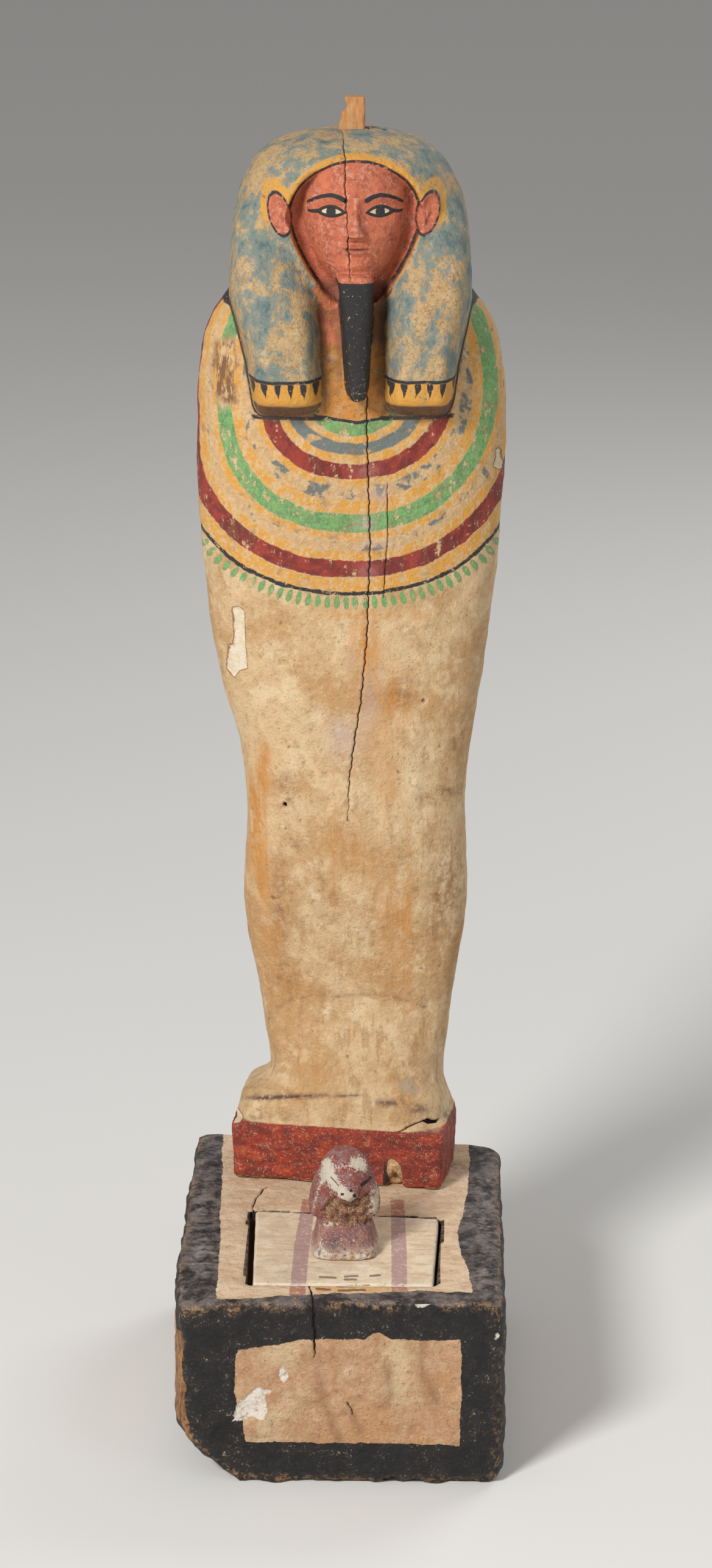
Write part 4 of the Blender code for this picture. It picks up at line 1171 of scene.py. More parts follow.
LID_GREY = tone(214, 192, 162)
LID_PALE = tone(230, 210, 182)
MAUVE = tone(170, 134, 134)
STRIPE_RED = tone(166, 92, 76)
BARE_WOOD = tone(192, 138, 84)
DARK_WOOD = tone(116, 72, 42)
FALCON_MAUVE = tone(150, 104, 104)
FALCON_RED = tone(146, 70, 58)
FALCON_PINK = tone(172, 128, 116)
FALCON_PURPLE = tone(98, 78, 92)
CRACK_DARK = tone(52, 34, 24)
FLOOR_TONE = tone(226, 224, 220)
FLOOR_SHADE = tone(220, 218, 214)


WOBBLE_GAIN = 2.6


class Coat:
    """One paint finish and the short calls that lay its nodes."""

    def __init__(self, name):
        self.material = bpy.data.materials.new(name)
        self.material.use_nodes = True
        self.tree = self.material.node_tree
        self.shader = self.tree.nodes["Principled BSDF"]
        self.place = self.tree.nodes.new("ShaderNodeTexCoord").outputs["Object"]
        self.shader.inputs["Metallic"].default_value = 0.0

    def node(self, kind, **settings):
        made = self.tree.nodes.new(kind)
        for key, value in settings.items():
            setattr(made, key, value)
        return made

    def feed(self, socket, value):
        if isinstance(value, bpy.types.NodeSocket):
            self.tree.links.new(value, socket)
        else:
            socket.default_value = value

    def field(self, name):
        return self.node("ShaderNodeAttribute", attribute_name=name).outputs["Fac"]

    def math(self, operation, first, second=0.0, clamp=False):
        made = self.node("ShaderNodeMath", operation=operation, use_clamp=clamp)
        self.feed(made.inputs[0], first)
        self.feed(made.inputs[1], second)
        return made.outputs[0]

    def stretched(self, scale):
        made = self.node("ShaderNodeMapping")
        self.feed(made.inputs["Vector"], self.place)
        made.inputs["Scale"].default_value = scale
        return made.outputs["Vector"]

    def noise(self, size, detail=2.0, roughness=0.5, distortion=0.0, place=None, shift=0.0):
        """Cloudy values from 0 to 1, with clouds of a size in metres."""
        where = place if place is not None else self.place
        if shift:
            moved = self.node("ShaderNodeVectorMath", operation="ADD")
            self.feed(moved.inputs[0], where)
            moved.inputs[1].default_value = (shift, -shift, 0.5 * shift)
            where = moved.outputs["Vector"]
        made = self.node("ShaderNodeTexNoise")
        self.feed(made.inputs["Vector"], where)
        made.inputs["Scale"].default_value = 1 / size
        made.inputs["Detail"].default_value = detail
        made.inputs["Roughness"].default_value = roughness
        made.inputs["Distortion"].default_value = distortion
        return made.outputs["Fac"]

    def between(self, value, low, high):
        """0 below low, 1 above high, eased in between; low may be the greater."""
        made = self.node("ShaderNodeMapRange", interpolation_type="SMOOTHSTEP")
        self.feed(made.inputs["Value"], value)
        first, last, start, end = (low, high, 0.0, 1.0) if low < high else (high, low, 1.0, 0.0)
        made.inputs["From Min"].default_value = first
        made.inputs["From Max"].default_value = last
        made.inputs["To Min"].default_value = start
        made.inputs["To Max"].default_value = end
        return made.outputs["Result"]

    def chain(self, operation, values):
        """One value after another through the same operation."""
        result = values[0]
        for value in values[1:]:
            result = self.math(operation, result, value)
        return result

    def both(self, *values):
        return self.chain("MULTIPLY", values)

    def either(self, *values):
        return self.chain("MAXIMUM", values)

    def add(self, *values):
        return self.chain("ADD", values)

    def less(self, first, second):
        return self.math("SUBTRACT", first, second)

    def capped(self, value, share):
        """A share of a value, held between 0 and 1."""
        return self.math("MULTIPLY", value, share, clamp=True)

    def mix(self, share, under, over, blend="MIX"):
        made = self.node("ShaderNodeMix", data_type="RGBA", blend_type=blend)
        self.feed(made.inputs["Factor"], share)
        self.feed(made.inputs["A"], under)
        self.feed(made.inputs["B"], over)
        return made.outputs["Result"]

    def wash(self, under, over, value, low, high, share=1.0):
        """A colour over another where a value passes from low to high."""
        cover = self.between(value, low, high)
        return self.mix(cover if share == 1.0 else self.both(cover, share), under, over)

    def stain(self, under, over, value, share):
        """A colour over another by a share of a value."""
        return self.mix(self.capped(value, share), under, over)

    def wobble(self, value, size, reach, shift=0.0):
        """The value with an unsteady hand: shifted by up to a reach, in clouds of a size."""
        swing = self.less(self.noise(size, 3.0, 0.6, shift=shift), 0.5)
        return self.add(value, self.both(swing, WOBBLE_GAIN * reach))

    def drawn(self, name, size, reach, shift=0.0):
        """A mark of the mesh, with an unsteady hand."""
        return self.wobble(self.field(name), size, reach, shift)

    def band(self, value, low, high, soft):
        """1 between low and high, with soft edges."""
        rising = self.between(value, low - soft, low + soft)
        falling = self.between(value, high + soft, high - soft)
        return self.both(rising, falling)

    def finish(self, colour, roughness, height, strength, distance=0.001):
        self.feed(self.shader.inputs["Base Color"], colour)
        self.feed(self.shader.inputs["Roughness"], roughness)
        relief = self.node("ShaderNodeBump")
        relief.inputs["Strength"].default_value = strength
        relief.inputs["Distance"].default_value = distance
        self.feed(relief.inputs["Height"], height)
        self.feed(self.shader.inputs["Normal"], relief.outputs["Normal"])
        return self.material


def lay_ground(coat):
    """The aged plaster ground: cream and tan clouds with ochre and brown stains."""
    wide = coat.noise(0.045, 4.0, 0.6, 0.4)
    middle = coat.noise(0.013, 4.0, 0.65, 0.3, shift=2.0)
    fine = coat.noise(0.0038, 5.0, 0.72, shift=5.0)
    grain = coat.noise(0.0011, 3.0, 0.7, shift=7.0)
    streaks = coat.noise(0.005, 4.0, 0.65, place=coat.stretched((1.0, 1.0, 0.2)), shift=10.0)
    colour = coat.wash(CREAM, TAN, wide, 0.38, 0.62)
    colour = coat.wash(colour, PALE_CREAM, middle, 0.5, 0.66, 0.6)
    colour = coat.wash(colour, PALE_CREAM, fine, 0.5, 0.72, 0.55)
    colour = coat.wash(colour, DEEP_TAN, fine, 0.48, 0.3, 0.65)
    low = coat.between(coat.field("level"), 50.0, 30.0)
    colour = coat.mix(coat.both(coat.between(streaks, 0.52, 0.66), low, 0.55), colour, DEEP_TAN)
    ochre = coat.add(coat.field("ochre"), coat.both(coat.between(wide, 0.52, 0.72), 0.35))
    ochre = coat.both(ochre, coat.between(coat.add(coat.both(fine, 0.5), coat.both(streaks, 0.5)), 0.36, 0.6))
    colour = coat.stain(colour, OCHRE, ochre, 1.0)
    brown = coat.add(coat.field("brown"), coat.both(coat.between(middle, 0.42, 0.24), 0.45))
    brown = coat.both(brown, coat.between(coat.noise(0.0045, 5.0, 0.78, shift=9.0), 0.4, 0.62))
    colour = coat.stain(colour, WARM_BROWN, brown, 0.95)
    pale = coat.both(coat.field("pale"), coat.between(fine, 0.38, 0.52))
    colour = coat.stain(colour, PLASTER_CREAM, pale, 0.8)
    dirt = coat.both(coat.between(grain, 0.58, 0.72), coat.between(middle, 0.62, 0.4))
    colour = coat.mix(coat.both(dirt, 0.5), colour, WARM_BROWN)
    specks = coat.between(coat.noise(0.0013, 3.0, 0.7, shift=12.0), 0.62, 0.68)
    return coat.mix(coat.both(specks, 0.6), colour, WARM_BROWN)


def lay_collar(coat, colour):
    """The broad collar's bands of petals and beads, and the row of drops below them."""
    ring = coat.drawn("ring", 0.01, 1.0, 3.0)
    ring = coat.wobble(ring, 0.0016, 0.4, 8.0)
    patch = coat.noise(0.009, 3.0, 0.6, 0.3, shift=15.0)
    worn = coat.noise(0.0028, 5.0, 0.78, shift=18.0)
    streak = coat.noise(0.004, 3.0, 0.7, place=coat.stretched((1.0, 1.0, 0.3)), shift=20.0)
    collar = coat.between(ring, COLLAR_END, COLLAR_END - 1.2)
    kept = coat.add(coat.both(worn, 0.6), coat.both(streak, 0.4))
    yellow = coat.wash(YELLOW, CREAM, kept, 0.44, 0.6)
    inner = coat.wash(yellow, CREAM, patch, 0.36, 0.54, collar)
    colour = coat.mix(coat.both(collar, 0.8), colour, inner)
    stain = coat.both(coat.between(patch, 0.52, 0.66), coat.between(streak, 0.44, 0.6), collar)
    for low, high, scarce in BEAD_RINGS:
        within = coat.band(ring, low, high, 0.5)
        beige = coat.wash(CREAM, TAN, worn, 0.4, 0.58)
        colour = coat.mix(coat.both(within, 0.7), colour, beige)
        blue = coat.both(within, coat.between(patch, scarce, scarce + 0.08))
        blue = coat.both(blue, coat.between(worn, 0.7, 0.55))
        colour = coat.mix(coat.both(blue, 0.9), colour, SLATE_BLUE)
    for low, high in YELLOW_RINGS:
        laid = coat.both(coat.band(ring, low, high, 0.6), coat.between(kept, 0.57, 0.46))
        colour = coat.mix(coat.both(laid, 0.92), colour, YELLOW)
    whole = coat.less(1.0, coat.capped(coat.field("scrape"), 1.6))
    green = coat.wash(COLLAR_GREEN, DEEP_GREEN, worn, 0.4, 0.6)
    for low, high in GREEN_RINGS:
        laid = coat.both(coat.band(ring, low, high, 0.5), coat.between(kept, 0.6, 0.52))
        colour = coat.mix(coat.both(laid, whole), colour, green)
    red = coat.wash(COLLAR_RED, DARK_RED, patch, 0.4, 0.6)
    for low, high in RED_RINGS:
        laid = coat.both(coat.band(ring, low, high, 0.35), coat.between(kept, 0.62, 0.55))
        colour = coat.mix(coat.both(laid, whole), colour, red)
    colour = coat.mix(coat.both(stain, 0.5), colour, WARM_BROWN)
    lilac = coat.both(coat.field("lilac"), coat.between(worn, 0.3, 0.5))
    colour = coat.stain(colour, LILAC, lilac, 0.6)
    neck = coat.drawn("neckline", 0.006, 0.4, 19.0)
    hem = coat.either(coat.band(ring, *HEM_RING, 0.25), coat.both(coat.band(neck, -1.6, 0.0, 0.2), collar))
    laid = coat.both(hem, coat.between(worn, 0.66, 0.54), whole)
    colour = coat.mix(laid, colour, INK_BLACK)
    scraped = coat.both(coat.field("scrape"), coat.between(streak, 0.4, 0.58))
    colour = coat.stain(colour, WARM_BROWN, scraped, 1.2)
    beat = coat.math("FRACT", coat.drawn("pendant", 0.006, 0.12, 22.0))
    width = coat.math("DIVIDE", coat.less(beat, 0.5), DROP_HALF_WIDTH)
    height = coat.math("DIVIDE", coat.less(ring, DROP_RING), DROP_HALF_LENGTH)
    drop = coat.add(coat.both(width, width), coat.both(height, height))
    drops = coat.both(coat.between(drop, 1.05, 0.75), coat.between(patch, 0.3, 0.42))
    drops = coat.both(drops, whole, coat.between(worn, 0.68, 0.5))
    return coat.mix(drops, colour, green), collar


def lay_flesh(coat):
    """The brick red of the face and ears, rubbed pale on what stands out."""
    worn = coat.noise(0.0022, 5.0, 0.75, shift=30.0)
    cloud = coat.noise(0.010, 4.0, 0.65, 0.4, shift=33.0)
    colour = coat.wash(FLESH_RED, FLESH_DEEP, cloud, 0.35, 0.62)
    colour = coat.wash(colour, WARM_BROWN, worn, 0.46, 0.32, 0.5)
    rubbed = coat.both(coat.between(coat.field("hollow"), 0.02, -0.10), coat.between(worn, 0.42, 0.6))
    rubbed = coat.either(rubbed, coat.both(coat.between(cloud, 0.44, 0.6), coat.between(worn, 0.42, 0.64)))
    colour = coat.mix(coat.both(rubbed, 0.55), colour, FLESH_PALE)
    specks = coat.between(coat.noise(0.001, 2.0, 0.6, shift=36.0), 0.68, 0.75)
    colour = coat.mix(coat.both(specks, 0.5), colour, PLASTER_CREAM)
    lips = coat.between(coat.drawn("lips", 0.003, 0.02), 0.0, 0.12)
    return coat.mix(coat.both(lips, 0.35), colour, DARK_RED)


def lay_wig(coat):
    """The wig: tan plaster with what is left of its blue."""
    broad = coat.noise(0.024, 4.0, 0.62, 0.6, shift=40.0)
    small = coat.noise(0.007, 5.0, 0.72, 0.4, place=coat.stretched((1.0, 1.0, 0.6)), shift=44.0)
    fine = coat.noise(0.0019, 4.0, 0.75, shift=46.0)
    left = coat.add(coat.both(broad, 0.42), coat.both(small, 0.36))
    left = coat.add(left, coat.both(fine, 0.22))
    colour = coat.wash(WIG_TAN, TAN, small, 0.35, 0.65)
    colour = coat.wash(colour, CREAM, fine, 0.5, 0.66, 0.45)
    colour = coat.wash(colour, WARM_BROWN, fine, 0.48, 0.36, 0.6)
    colour = coat.wash(colour, WIG_BLUE, left, 0.475, 0.525, 0.85)
    colour = coat.wash(colour, WIG_TEAL, left, 0.53, 0.6, 0.8)
    rubbed = coat.both(coat.between(coat.field("hollow"), -0.05, -0.3), coat.between(fine, 0.42, 0.56))
    colour = coat.mix(coat.both(rubbed, 0.6), colour, CREAM)
    specks = coat.between(coat.noise(0.0013, 3.0, 0.7, shift=48.0), 0.6, 0.66)
    return coat.mix(coat.both(specks, 0.55), colour, WARM_BROWN)


def figure_paint():
    coat = Coat("painted_plaster_on_wood")
    worn = coat.noise(0.002, 5.0, 0.75, shift=50.0)
    colour = lay_ground(coat)
    colour, collar = lay_collar(coat, colour)
    hair = coat.drawn("hair", 0.006, 0.5, 52.0)
    wig = coat.between(hair, 0.1, 0.7)
    colour = coat.mix(wig, colour, lay_wig(coat))
    colour = lay_throat(coat, colour, hair, worn)
    flesh = coat.both(coat.between(coat.field("flesh"), -4.0, 4.0), coat.between(hair, 0.3, -0.3))
    ear = coat.between(coat.field("ear"), -0.2, 0.2)
    colour = coat.mix(coat.either(flesh, ear), colour, lay_flesh(coat))
    colour = lay_wig_edging(coat, colour, hair, worn)
    colour = lay_lappet_ends(coat, colour, wig, worn)
    colour = lay_face_lines(coat, colour, worn)
    beard = coat.between(coat.drawn("beard", 0.002, 0.12, 56.0), -0.1, 0.2)
    specks = coat.between(coat.noise(0.0012, 2.0, 0.6, shift=58.0), 0.66, 0.74)
    tip = coat.between(coat.field("level"), 80.0, 77.0)
    specks = coat.either(specks, coat.both(tip, coat.between(worn, 0.56, 0.64)))
    beard_paint = coat.mix(coat.both(specks, 0.6), BEARD_BLACK, CREAM)
    colour = coat.mix(beard, colour, beard_paint)
    colour = lay_block(coat, colour)
    colour = lay_figure_damage_and_crease_shade(coat, colour)
    roughness = coat.add(coat.both(coat.noise(0.01, 3.0, 0.6, shift=60.0), 0.3), 0.5)
    height = coat.add(coat.noise(0.0016, 5.0, 0.72, shift=62.0), coat.both(coat.noise(0.006, 4.0, 0.65), 1.3))
    height = coat.add(height, coat.both(collar, coat.noise(0.0009, 2.0, 0.6), 0.3))
    return coat.finish(colour, roughness, height, 0.85, 0.0011)


def lay_throat(coat, colour, hair, worn):
    """Between the lappets: ochre below, and the neck's red above with painted shadow in warm brown on its
    right.
    """
    between = coat.both(coat.between(hair, 0.4, -0.4), coat.between(coat.field("lappet_across"), 0.08, 0.02))
    between = coat.both(between, coat.between(coat.field("ring"), 150, 140))
    level = coat.drawn("level", 0.006, 0.5, 53.0)
    inside = coat.both(between, coat.between(coat.drawn("neckline", 0.006, 0.4, 19.0), -0.2, 0.2))
    cloud = coat.noise(0.007, 5.0, 0.72, shift=54.0)
    paint = coat.wash(OCHRE, TAN, cloud, 0.47, 0.64)
    paint = coat.wash(paint, WARM_BROWN, worn, 0.5, 0.34, 0.7)
    colour = coat.mix(inside, colour, paint)
    neck = coat.both(between, coat.between(level, 80.6, 82.0))
    neck_paint_and_shadow = coat.wash(FLESH_RED, OCHRE, cloud, 0.5, 0.7)
    # Painted shadow: warm brown over the neck's red, growing towards its right side
    neck_paint_and_shadow = coat.wash(neck_paint_and_shadow, WARM_BROWN, coat.field("across"), 0.6, 1.6)
    return coat.mix(coat.both(neck, 0.95), colour, neck_paint_and_shadow)


def lay_wig_edging(coat, colour, hair, worn):
    """The yellow band round the face and the black lines along the wig's edges."""
    edge = coat.drawn("round_face", 0.008, 0.4, 64.0)
    level = coat.field("level")
    off_ear = coat.between(coat.field("ear"), 0.0, -0.5)
    yellow = coat.both(coat.band(edge, -0.6, 2.8, 0.35), coat.between(level, 91.5, 93.0))
    side = coat.both(coat.band(edge, -1.0, 0.9, 0.3), coat.between(level, 92.5, 91.0))
    side = coat.both(side, coat.between(level, 86.0, 88.0), coat.between(worn, 0.56, 0.46))
    round_ear = coat.both(coat.band(coat.field("ear"), -3.0, -0.2, 0.5), coat.between(edge, 0.0, 0.6))
    round_ear = coat.both(round_ear, coat.between(level, 91.0, 93.0))
    yellow = coat.both(coat.either(yellow, coat.both(side, 0.8), round_ear), off_ear)
    colour = coat.mix(coat.both(yellow, coat.between(worn, 0.66, 0.48)), colour, YELLOW)
    black = coat.both(coat.band(edge, -1.7, -0.35, 0.25), coat.between(level, 86.2, 87.2))
    black = coat.both(black, coat.between(coat.field("ear"), 0.1, -0.3))
    colour = coat.mix(coat.both(black, coat.between(worn, 0.64, 0.54)), colour, INK_BLACK)
    outer = coat.both(coat.band(hair, -2.9, -0.3, 0.3), coat.between(level, 86.8, 86.2))
    outer = coat.both(outer, coat.between(level, 74.2, 74.6))
    outer = coat.both(outer, coat.between(coat.field("ring"), 190, 180))
    rim = coat.both(outer, coat.between(coat.field("lappet_across"), 0.4, 0.6))
    colour = coat.mix(coat.both(rim, coat.between(worn, 0.68, 0.58)), colour, INK_BLACK)
    inner = coat.both(outer, coat.between(coat.field("lappet_across"), 0.3, 0.1))
    return coat.mix(coat.both(inner, coat.between(worn, 0.58, 0.48), 0.8), colour, INK_BLACK)


def lay_lappet_ends(coat, colour, wig, worn):
    """The yellow band with tapering strokes that ends each lappet, and painted shade on the lappet's
    underside below it.
    """
    level = coat.drawn("level", 0.01, 0.08, 66.0)
    across = coat.drawn("lappet_across", 0.006, 0.03, 68.0)
    on_front = coat.both(wig, coat.between(coat.field("ring"), 240, 200))
    on_front = coat.both(on_front, coat.band(across, -0.3, 1.3, 0.05))
    band = coat.both(coat.band(level, LAPPET_BAND_LOW - 0.1, LAPPET_BAND_HIGH, 0.05), on_front)
    colour = coat.mix(coat.both(band, coat.between(worn, 0.7, 0.5)), colour, YELLOW)
    # Painted shade: the lappets' undersides below the yellow band are darkened in deep and warm brown
    under = coat.both(coat.between(level, LAPPET_BAND_LOW + 0.05, LAPPET_BAND_LOW - 0.25), on_front)
    colour = coat.mix(under, colour, coat.wash(DEEP_BROWN_AND_SHADE, WARM_BROWN, worn, 0.4, 0.6))
    beat = coat.math("FRACT", coat.both(across, 5.6))
    away = coat.math("ABSOLUTE", coat.less(beat, 0.5))
    share = coat.between(level, LAPPET_BAND_LOW + 0.35, LAPPET_BAND_HIGH - 0.2)
    stroke = coat.less(coat.both(share, 0.27), away)
    strokes = coat.both(coat.between(stroke, 0.0, 0.05), band, coat.band(across, 0.0, 1.0, 0.02))
    line = coat.both(coat.band(level, LAPPET_BAND_HIGH, LAPPET_BAND_HIGH + 0.3, 0.05), on_front)
    black = coat.both(coat.either(strokes, line), coat.between(worn, 0.68, 0.58))
    colour = coat.mix(black, colour, INK_BLACK)
    foot = coat.both(coat.band(level, 74.4, 74.8, 0.08), coat.band(across, -0.12, 1.1, 0.03))
    foot = coat.both(foot, coat.between(coat.field("ring"), 190, 180))
    return coat.mix(coat.both(foot, coat.between(worn, 0.66, 0.54)), colour, INK_BLACK)


def lay_face_lines(coat, colour, worn):
    eye = coat.field("eye")
    colour = coat.wash(colour, EYE_WHITE, eye, -0.05, 0.1)
    ink = coat.drawn("ink", 0.004, 0.06, 70.0)
    black = coat.both(coat.between(ink, -0.08, 0.08), coat.between(worn, 0.72, 0.64))
    colour = coat.mix(black, colour, INK_BLACK)
    rim = coat.both(coat.band(coat.field("ear"), -0.3, 0.55, 0.2), coat.between(worn, 0.6, 0.5))
    return coat.mix(rim, colour, INK_BLACK)


def lay_block(coat, colour):
    """The red block under the feet, its paint brushed, cracked and flaked."""
    level = coat.drawn("level", 0.005, 0.06, 72.0)
    block = coat.between(level, BLOCK_LEVEL + 0.08, BLOCK_LEVEL - 0.08)
    brushed = coat.noise(0.006, 5.0, 0.7, 0.6, place=coat.stretched((0.5, 1.0, 1.0)), shift=74.0)
    flakes = coat.noise(0.0032, 5.0, 0.8, 1.2, shift=76.0)
    fine = coat.noise(0.0012, 4.0, 0.75, shift=77.0)
    red = coat.wash(BLOCK_RED, BLOCK_DARK_RED, brushed, 0.4, 0.6)
    red = coat.wash(red, BLOCK_ORANGE, brushed, 0.42, 0.34, 0.6)
    red = coat.wash(red, BLOCK_DARK_RED, fine, 0.48, 0.34, 0.5)
    red = coat.mix(coat.both(coat.band(flakes, 0.615, 0.635, 0.008), 0.8), red, PLASTER_CREAM)
    red = coat.wash(red, CREAM, fine, 0.59, 0.64, 0.65)
    chips = coat.add(coat.field("block_chips"), coat.less(flakes, 0.5))
    red = coat.wash(red, BLOCK_ORANGE, chips, 0.5, 0.6)
    plaster = coat.between(coat.wobble(level, 0.006, 0.22, 78.0), 0.32, 0.12)
    red = coat.mix(coat.both(plaster, 0.9), red, coat.wash(CREAM, WARM_BROWN, fine, 0.42, 0.58))
    gap = coat.between(coat.drawn("gap", 0.002, 0.2), -0.1, 0.2)
    red = coat.mix(gap, red, CRACK_DARK)
    lump = coat.between(coat.drawn("lump", 0.002, 0.35), -0.2, 0.2)
    red = coat.mix(lump, red, coat.wash(CREAM, DEEP_TAN, fine, 0.4, 0.62))
    return coat.mix(block, colour, red)


def lay_figure_damage_and_crease_shade(coat, colour):
    ragged = coat.noise(0.0035, 5.0, 0.75, shift=80.0)
    toe = coat.both(coat.field("toe_dirt"), coat.between(ragged, 0.4, 0.5))
    colour = coat.stain(colour, tone(78, 54, 52), toe, 0.9)
    # Painted shade: the creases and hollows of the carving are darkened in deep brown
    painted_crease_shade = coat.between(coat.field("hollow"), 0.06, 0.3)
    colour = coat.mix(coat.both(painted_crease_shade, 0.55), colour, DEEP_BROWN_AND_SHADE)
    loss = coat.wobble(coat.drawn("loss", 0.002, 0.3, 82.0), 0.006, 0.6, 83.0)
    white = coat.wash(PLASTER_WHITE, PLASTER_CREAM, ragged, 0.4, 0.6)
    colour = coat.wash(colour, white, loss, -0.05, 0.2)
    rim = coat.both(coat.band(loss, -0.5, 0.05, 0.12), 0.75)
    colour = coat.mix(rim, colour, WARM_BROWN)
    bare = coat.between(coat.drawn("bare", 0.003, 0.5, 84.0), -0.1, 0.3)
    colour = coat.mix(coat.both(bare, 0.6), colour, tone(178, 160, 138))
    scratch = coat.between(coat.drawn("scratch", 0.003, 0.15, 86.0), -0.1, 0.1)
    colour = coat.mix(coat.both(scratch, 0.5), colour, PLASTER_CREAM)
    crack = coat.between(coat.drawn("crack", 0.0015, 0.1, 88.0), -0.12, 0.08)
    return coat.mix(crack, colour, CRACK_DARK)


def plinth_paint():
    coat = Coat("black_and_cream_plinth_paint")
    hollow = coat.field("hollow")
    on_top = coat.field("on_top")
    wide = coat.noise(0.030, 3.0, 0.6)
    cloud = coat.noise(0.010, 5.0, 0.7, 0.4, shift=2.0)
    worn = coat.noise(0.0032, 5.0, 0.78, shift=4.0)
    grit = coat.noise(0.0011, 4.0, 0.75, shift=6.0)
    black = coat.wash(BORDER_BLACK, BORDER_WARM, cloud, 0.4, 0.62)
    sheen = coat.add(coat.field("sheen"), coat.both(on_top, 0.75))
    sheen = coat.both(sheen, coat.between(coat.add(coat.both(cloud, 0.6), coat.both(worn, 0.4)), 0.4, 0.6))
    black = coat.stain(black, BORDER_GREY, sheen, 0.7)
    flecks = coat.either(coat.between(grit, 0.6, 0.65), coat.both(coat.between(worn, 0.6, 0.66), 0.8))
    scarce = coat.add(0.12, coat.both(coat.between(cloud, 0.5, 0.64), 0.7))
    fleck_tone = coat.wash(DEEP_TAN, PLASTER_CREAM, cloud, 0.42, 0.58)
    black = coat.mix(coat.both(flecks, scarce), black, fleck_tone)
    rubbed = coat.both(coat.between(hollow, -0.1, -0.45), coat.between(worn, 0.48, 0.6))
    black = coat.mix(coat.both(rubbed, 0.7), black, coat.wash(WARM_BROWN, TAN, grit, 0.4, 0.6))
    front = coat.wash(PANEL_TAN, PANEL_PINK, cloud, 0.38, 0.6)
    front = coat.wash(front, tone(204, 144, 90), wide, 0.5, 0.66, 0.45)
    front = coat.wash(front, PALE_CREAM, wide, 0.48, 0.34, 0.6)
    front = coat.wash(front, PANEL_BROWN, worn, 0.46, 0.34, 0.5)
    front = coat.wash(front, PALE_CREAM, worn, 0.54, 0.66, 0.5)
    board = coat.noise(0.007, 5.0, 0.7, 0.5, place=coat.stretched((0.6, 1.0, 1.0)), shift=8.0)
    top = coat.wash(tone(208, 174, 138), tone(230, 204, 172), board, 0.34, 0.64)
    top = coat.wash(top, DEEP_TAN, worn, 0.46, 0.34, 0.5)
    panel_paint = coat.mix(on_top, front, top)
    speckle = coat.both(coat.between(grit, 0.57, 0.64), coat.between(cloud, 0.42, 0.6))
    speckle = coat.both(speckle, coat.less(0.75, coat.both(on_top, 0.4)))
    panel_paint = coat.mix(speckle, panel_paint, tone(126, 82, 58))
    streak = coat.both(coat.field("streak"), coat.between(worn, 0.32, 0.56))
    panel_paint = coat.mix(coat.both(streak, 0.65), panel_paint, PANEL_BROWN)
    panel = coat.wobble(coat.drawn("panel", 0.012, 0.9, 8.0), 0.0022, 0.6, 10.0)
    on_panel = coat.between(panel, -0.15, 0.2)
    colour = coat.mix(on_panel, black, panel_paint)
    strip = coat.both(coat.between(coat.drawn("yellow_strip", 0.003, 0.5, 14.0), -0.1, 0.4), 0.65)
    strip = coat.both(strip, coat.between(worn, 0.62, 0.48))
    colour = coat.mix(coat.both(strip, on_panel), colour, YELLOW)
    stripe = coat.both(coat.between(coat.drawn("stripe", 0.004, 0.7, 12.0), -0.3, 0.4), 0.75)
    stripe = coat.both(stripe, coat.between(worn, 0.66, 0.5))
    colour = coat.mix(coat.both(stripe, on_panel), colour, STRIPE_RED)
    dash = coat.both(coat.between(coat.drawn("dash", 0.002, 0.25, 16.0), -0.1, 0.15), on_panel)
    colour = coat.mix(coat.both(dash, 0.8), colour, DEEP_BROWN_AND_SHADE)
    # Painted shade: deep brown spots on the top beside the red block's foot
    dark = coat.both(coat.field("dark"), coat.between(worn, 0.4, 0.6))
    colour = coat.stain(colour, DEEP_BROWN_AND_SHADE, dark, 0.85)
    loss = coat.wobble(coat.drawn("loss", 0.006, 1.0, 18.0), 0.0018, 0.7, 19.0)
    white = coat.wash(tone(238, 228, 214), tone(182, 160, 140), worn, 0.48, 0.66)
    colour = coat.wash(colour, white, loss, -0.1, 0.5, 0.95)
    grain = coat.noise(0.0025, 4.0, 0.7, place=coat.stretched((1.0, 1.0, 0.12)), shift=20.0)
    wood = coat.wash(DARK_WOOD, BARE_WOOD, grain, 0.35, 0.62)
    bare = coat.between(coat.drawn("bare", 0.006, 1.6, 22.0), -0.3, 0.6)
    bare = coat.both(bare, coat.between(worn, 0.3, 0.46))
    colour = coat.mix(coat.both(bare, 0.85), colour, wood)
    broken = coat.both(coat.between(coat.field("broken"), 0.2, 0.7), coat.between(worn, 0.48, 0.62))
    colour = coat.mix(coat.both(broken, 0.7), colour, WARM_BROWN)
    colour = coat.mix(coat.field("inside"), colour, coat.wash(DARK_WOOD, DEEP_BROWN_AND_SHADE, grain, 0.3, 0.6))
    crack = coat.between(coat.drawn("crack", 0.0015, 0.1, 24.0), -0.12, 0.1)
    colour = coat.mix(crack, colour, tone(36, 24, 18))
    roughness = coat.less(0.82, coat.both(coat.between(panel, 0.2, -0.2), 0.22))
    height = coat.add(coat.noise(0.0018, 5.0, 0.75, shift=26.0), coat.both(coat.noise(0.006, 4.0, 0.65), 1.5))
    height = coat.both(height, coat.less(1.0, coat.both(on_top, 0.45)))
    return coat.finish(colour, roughness, height, 1.0, 0.0014)


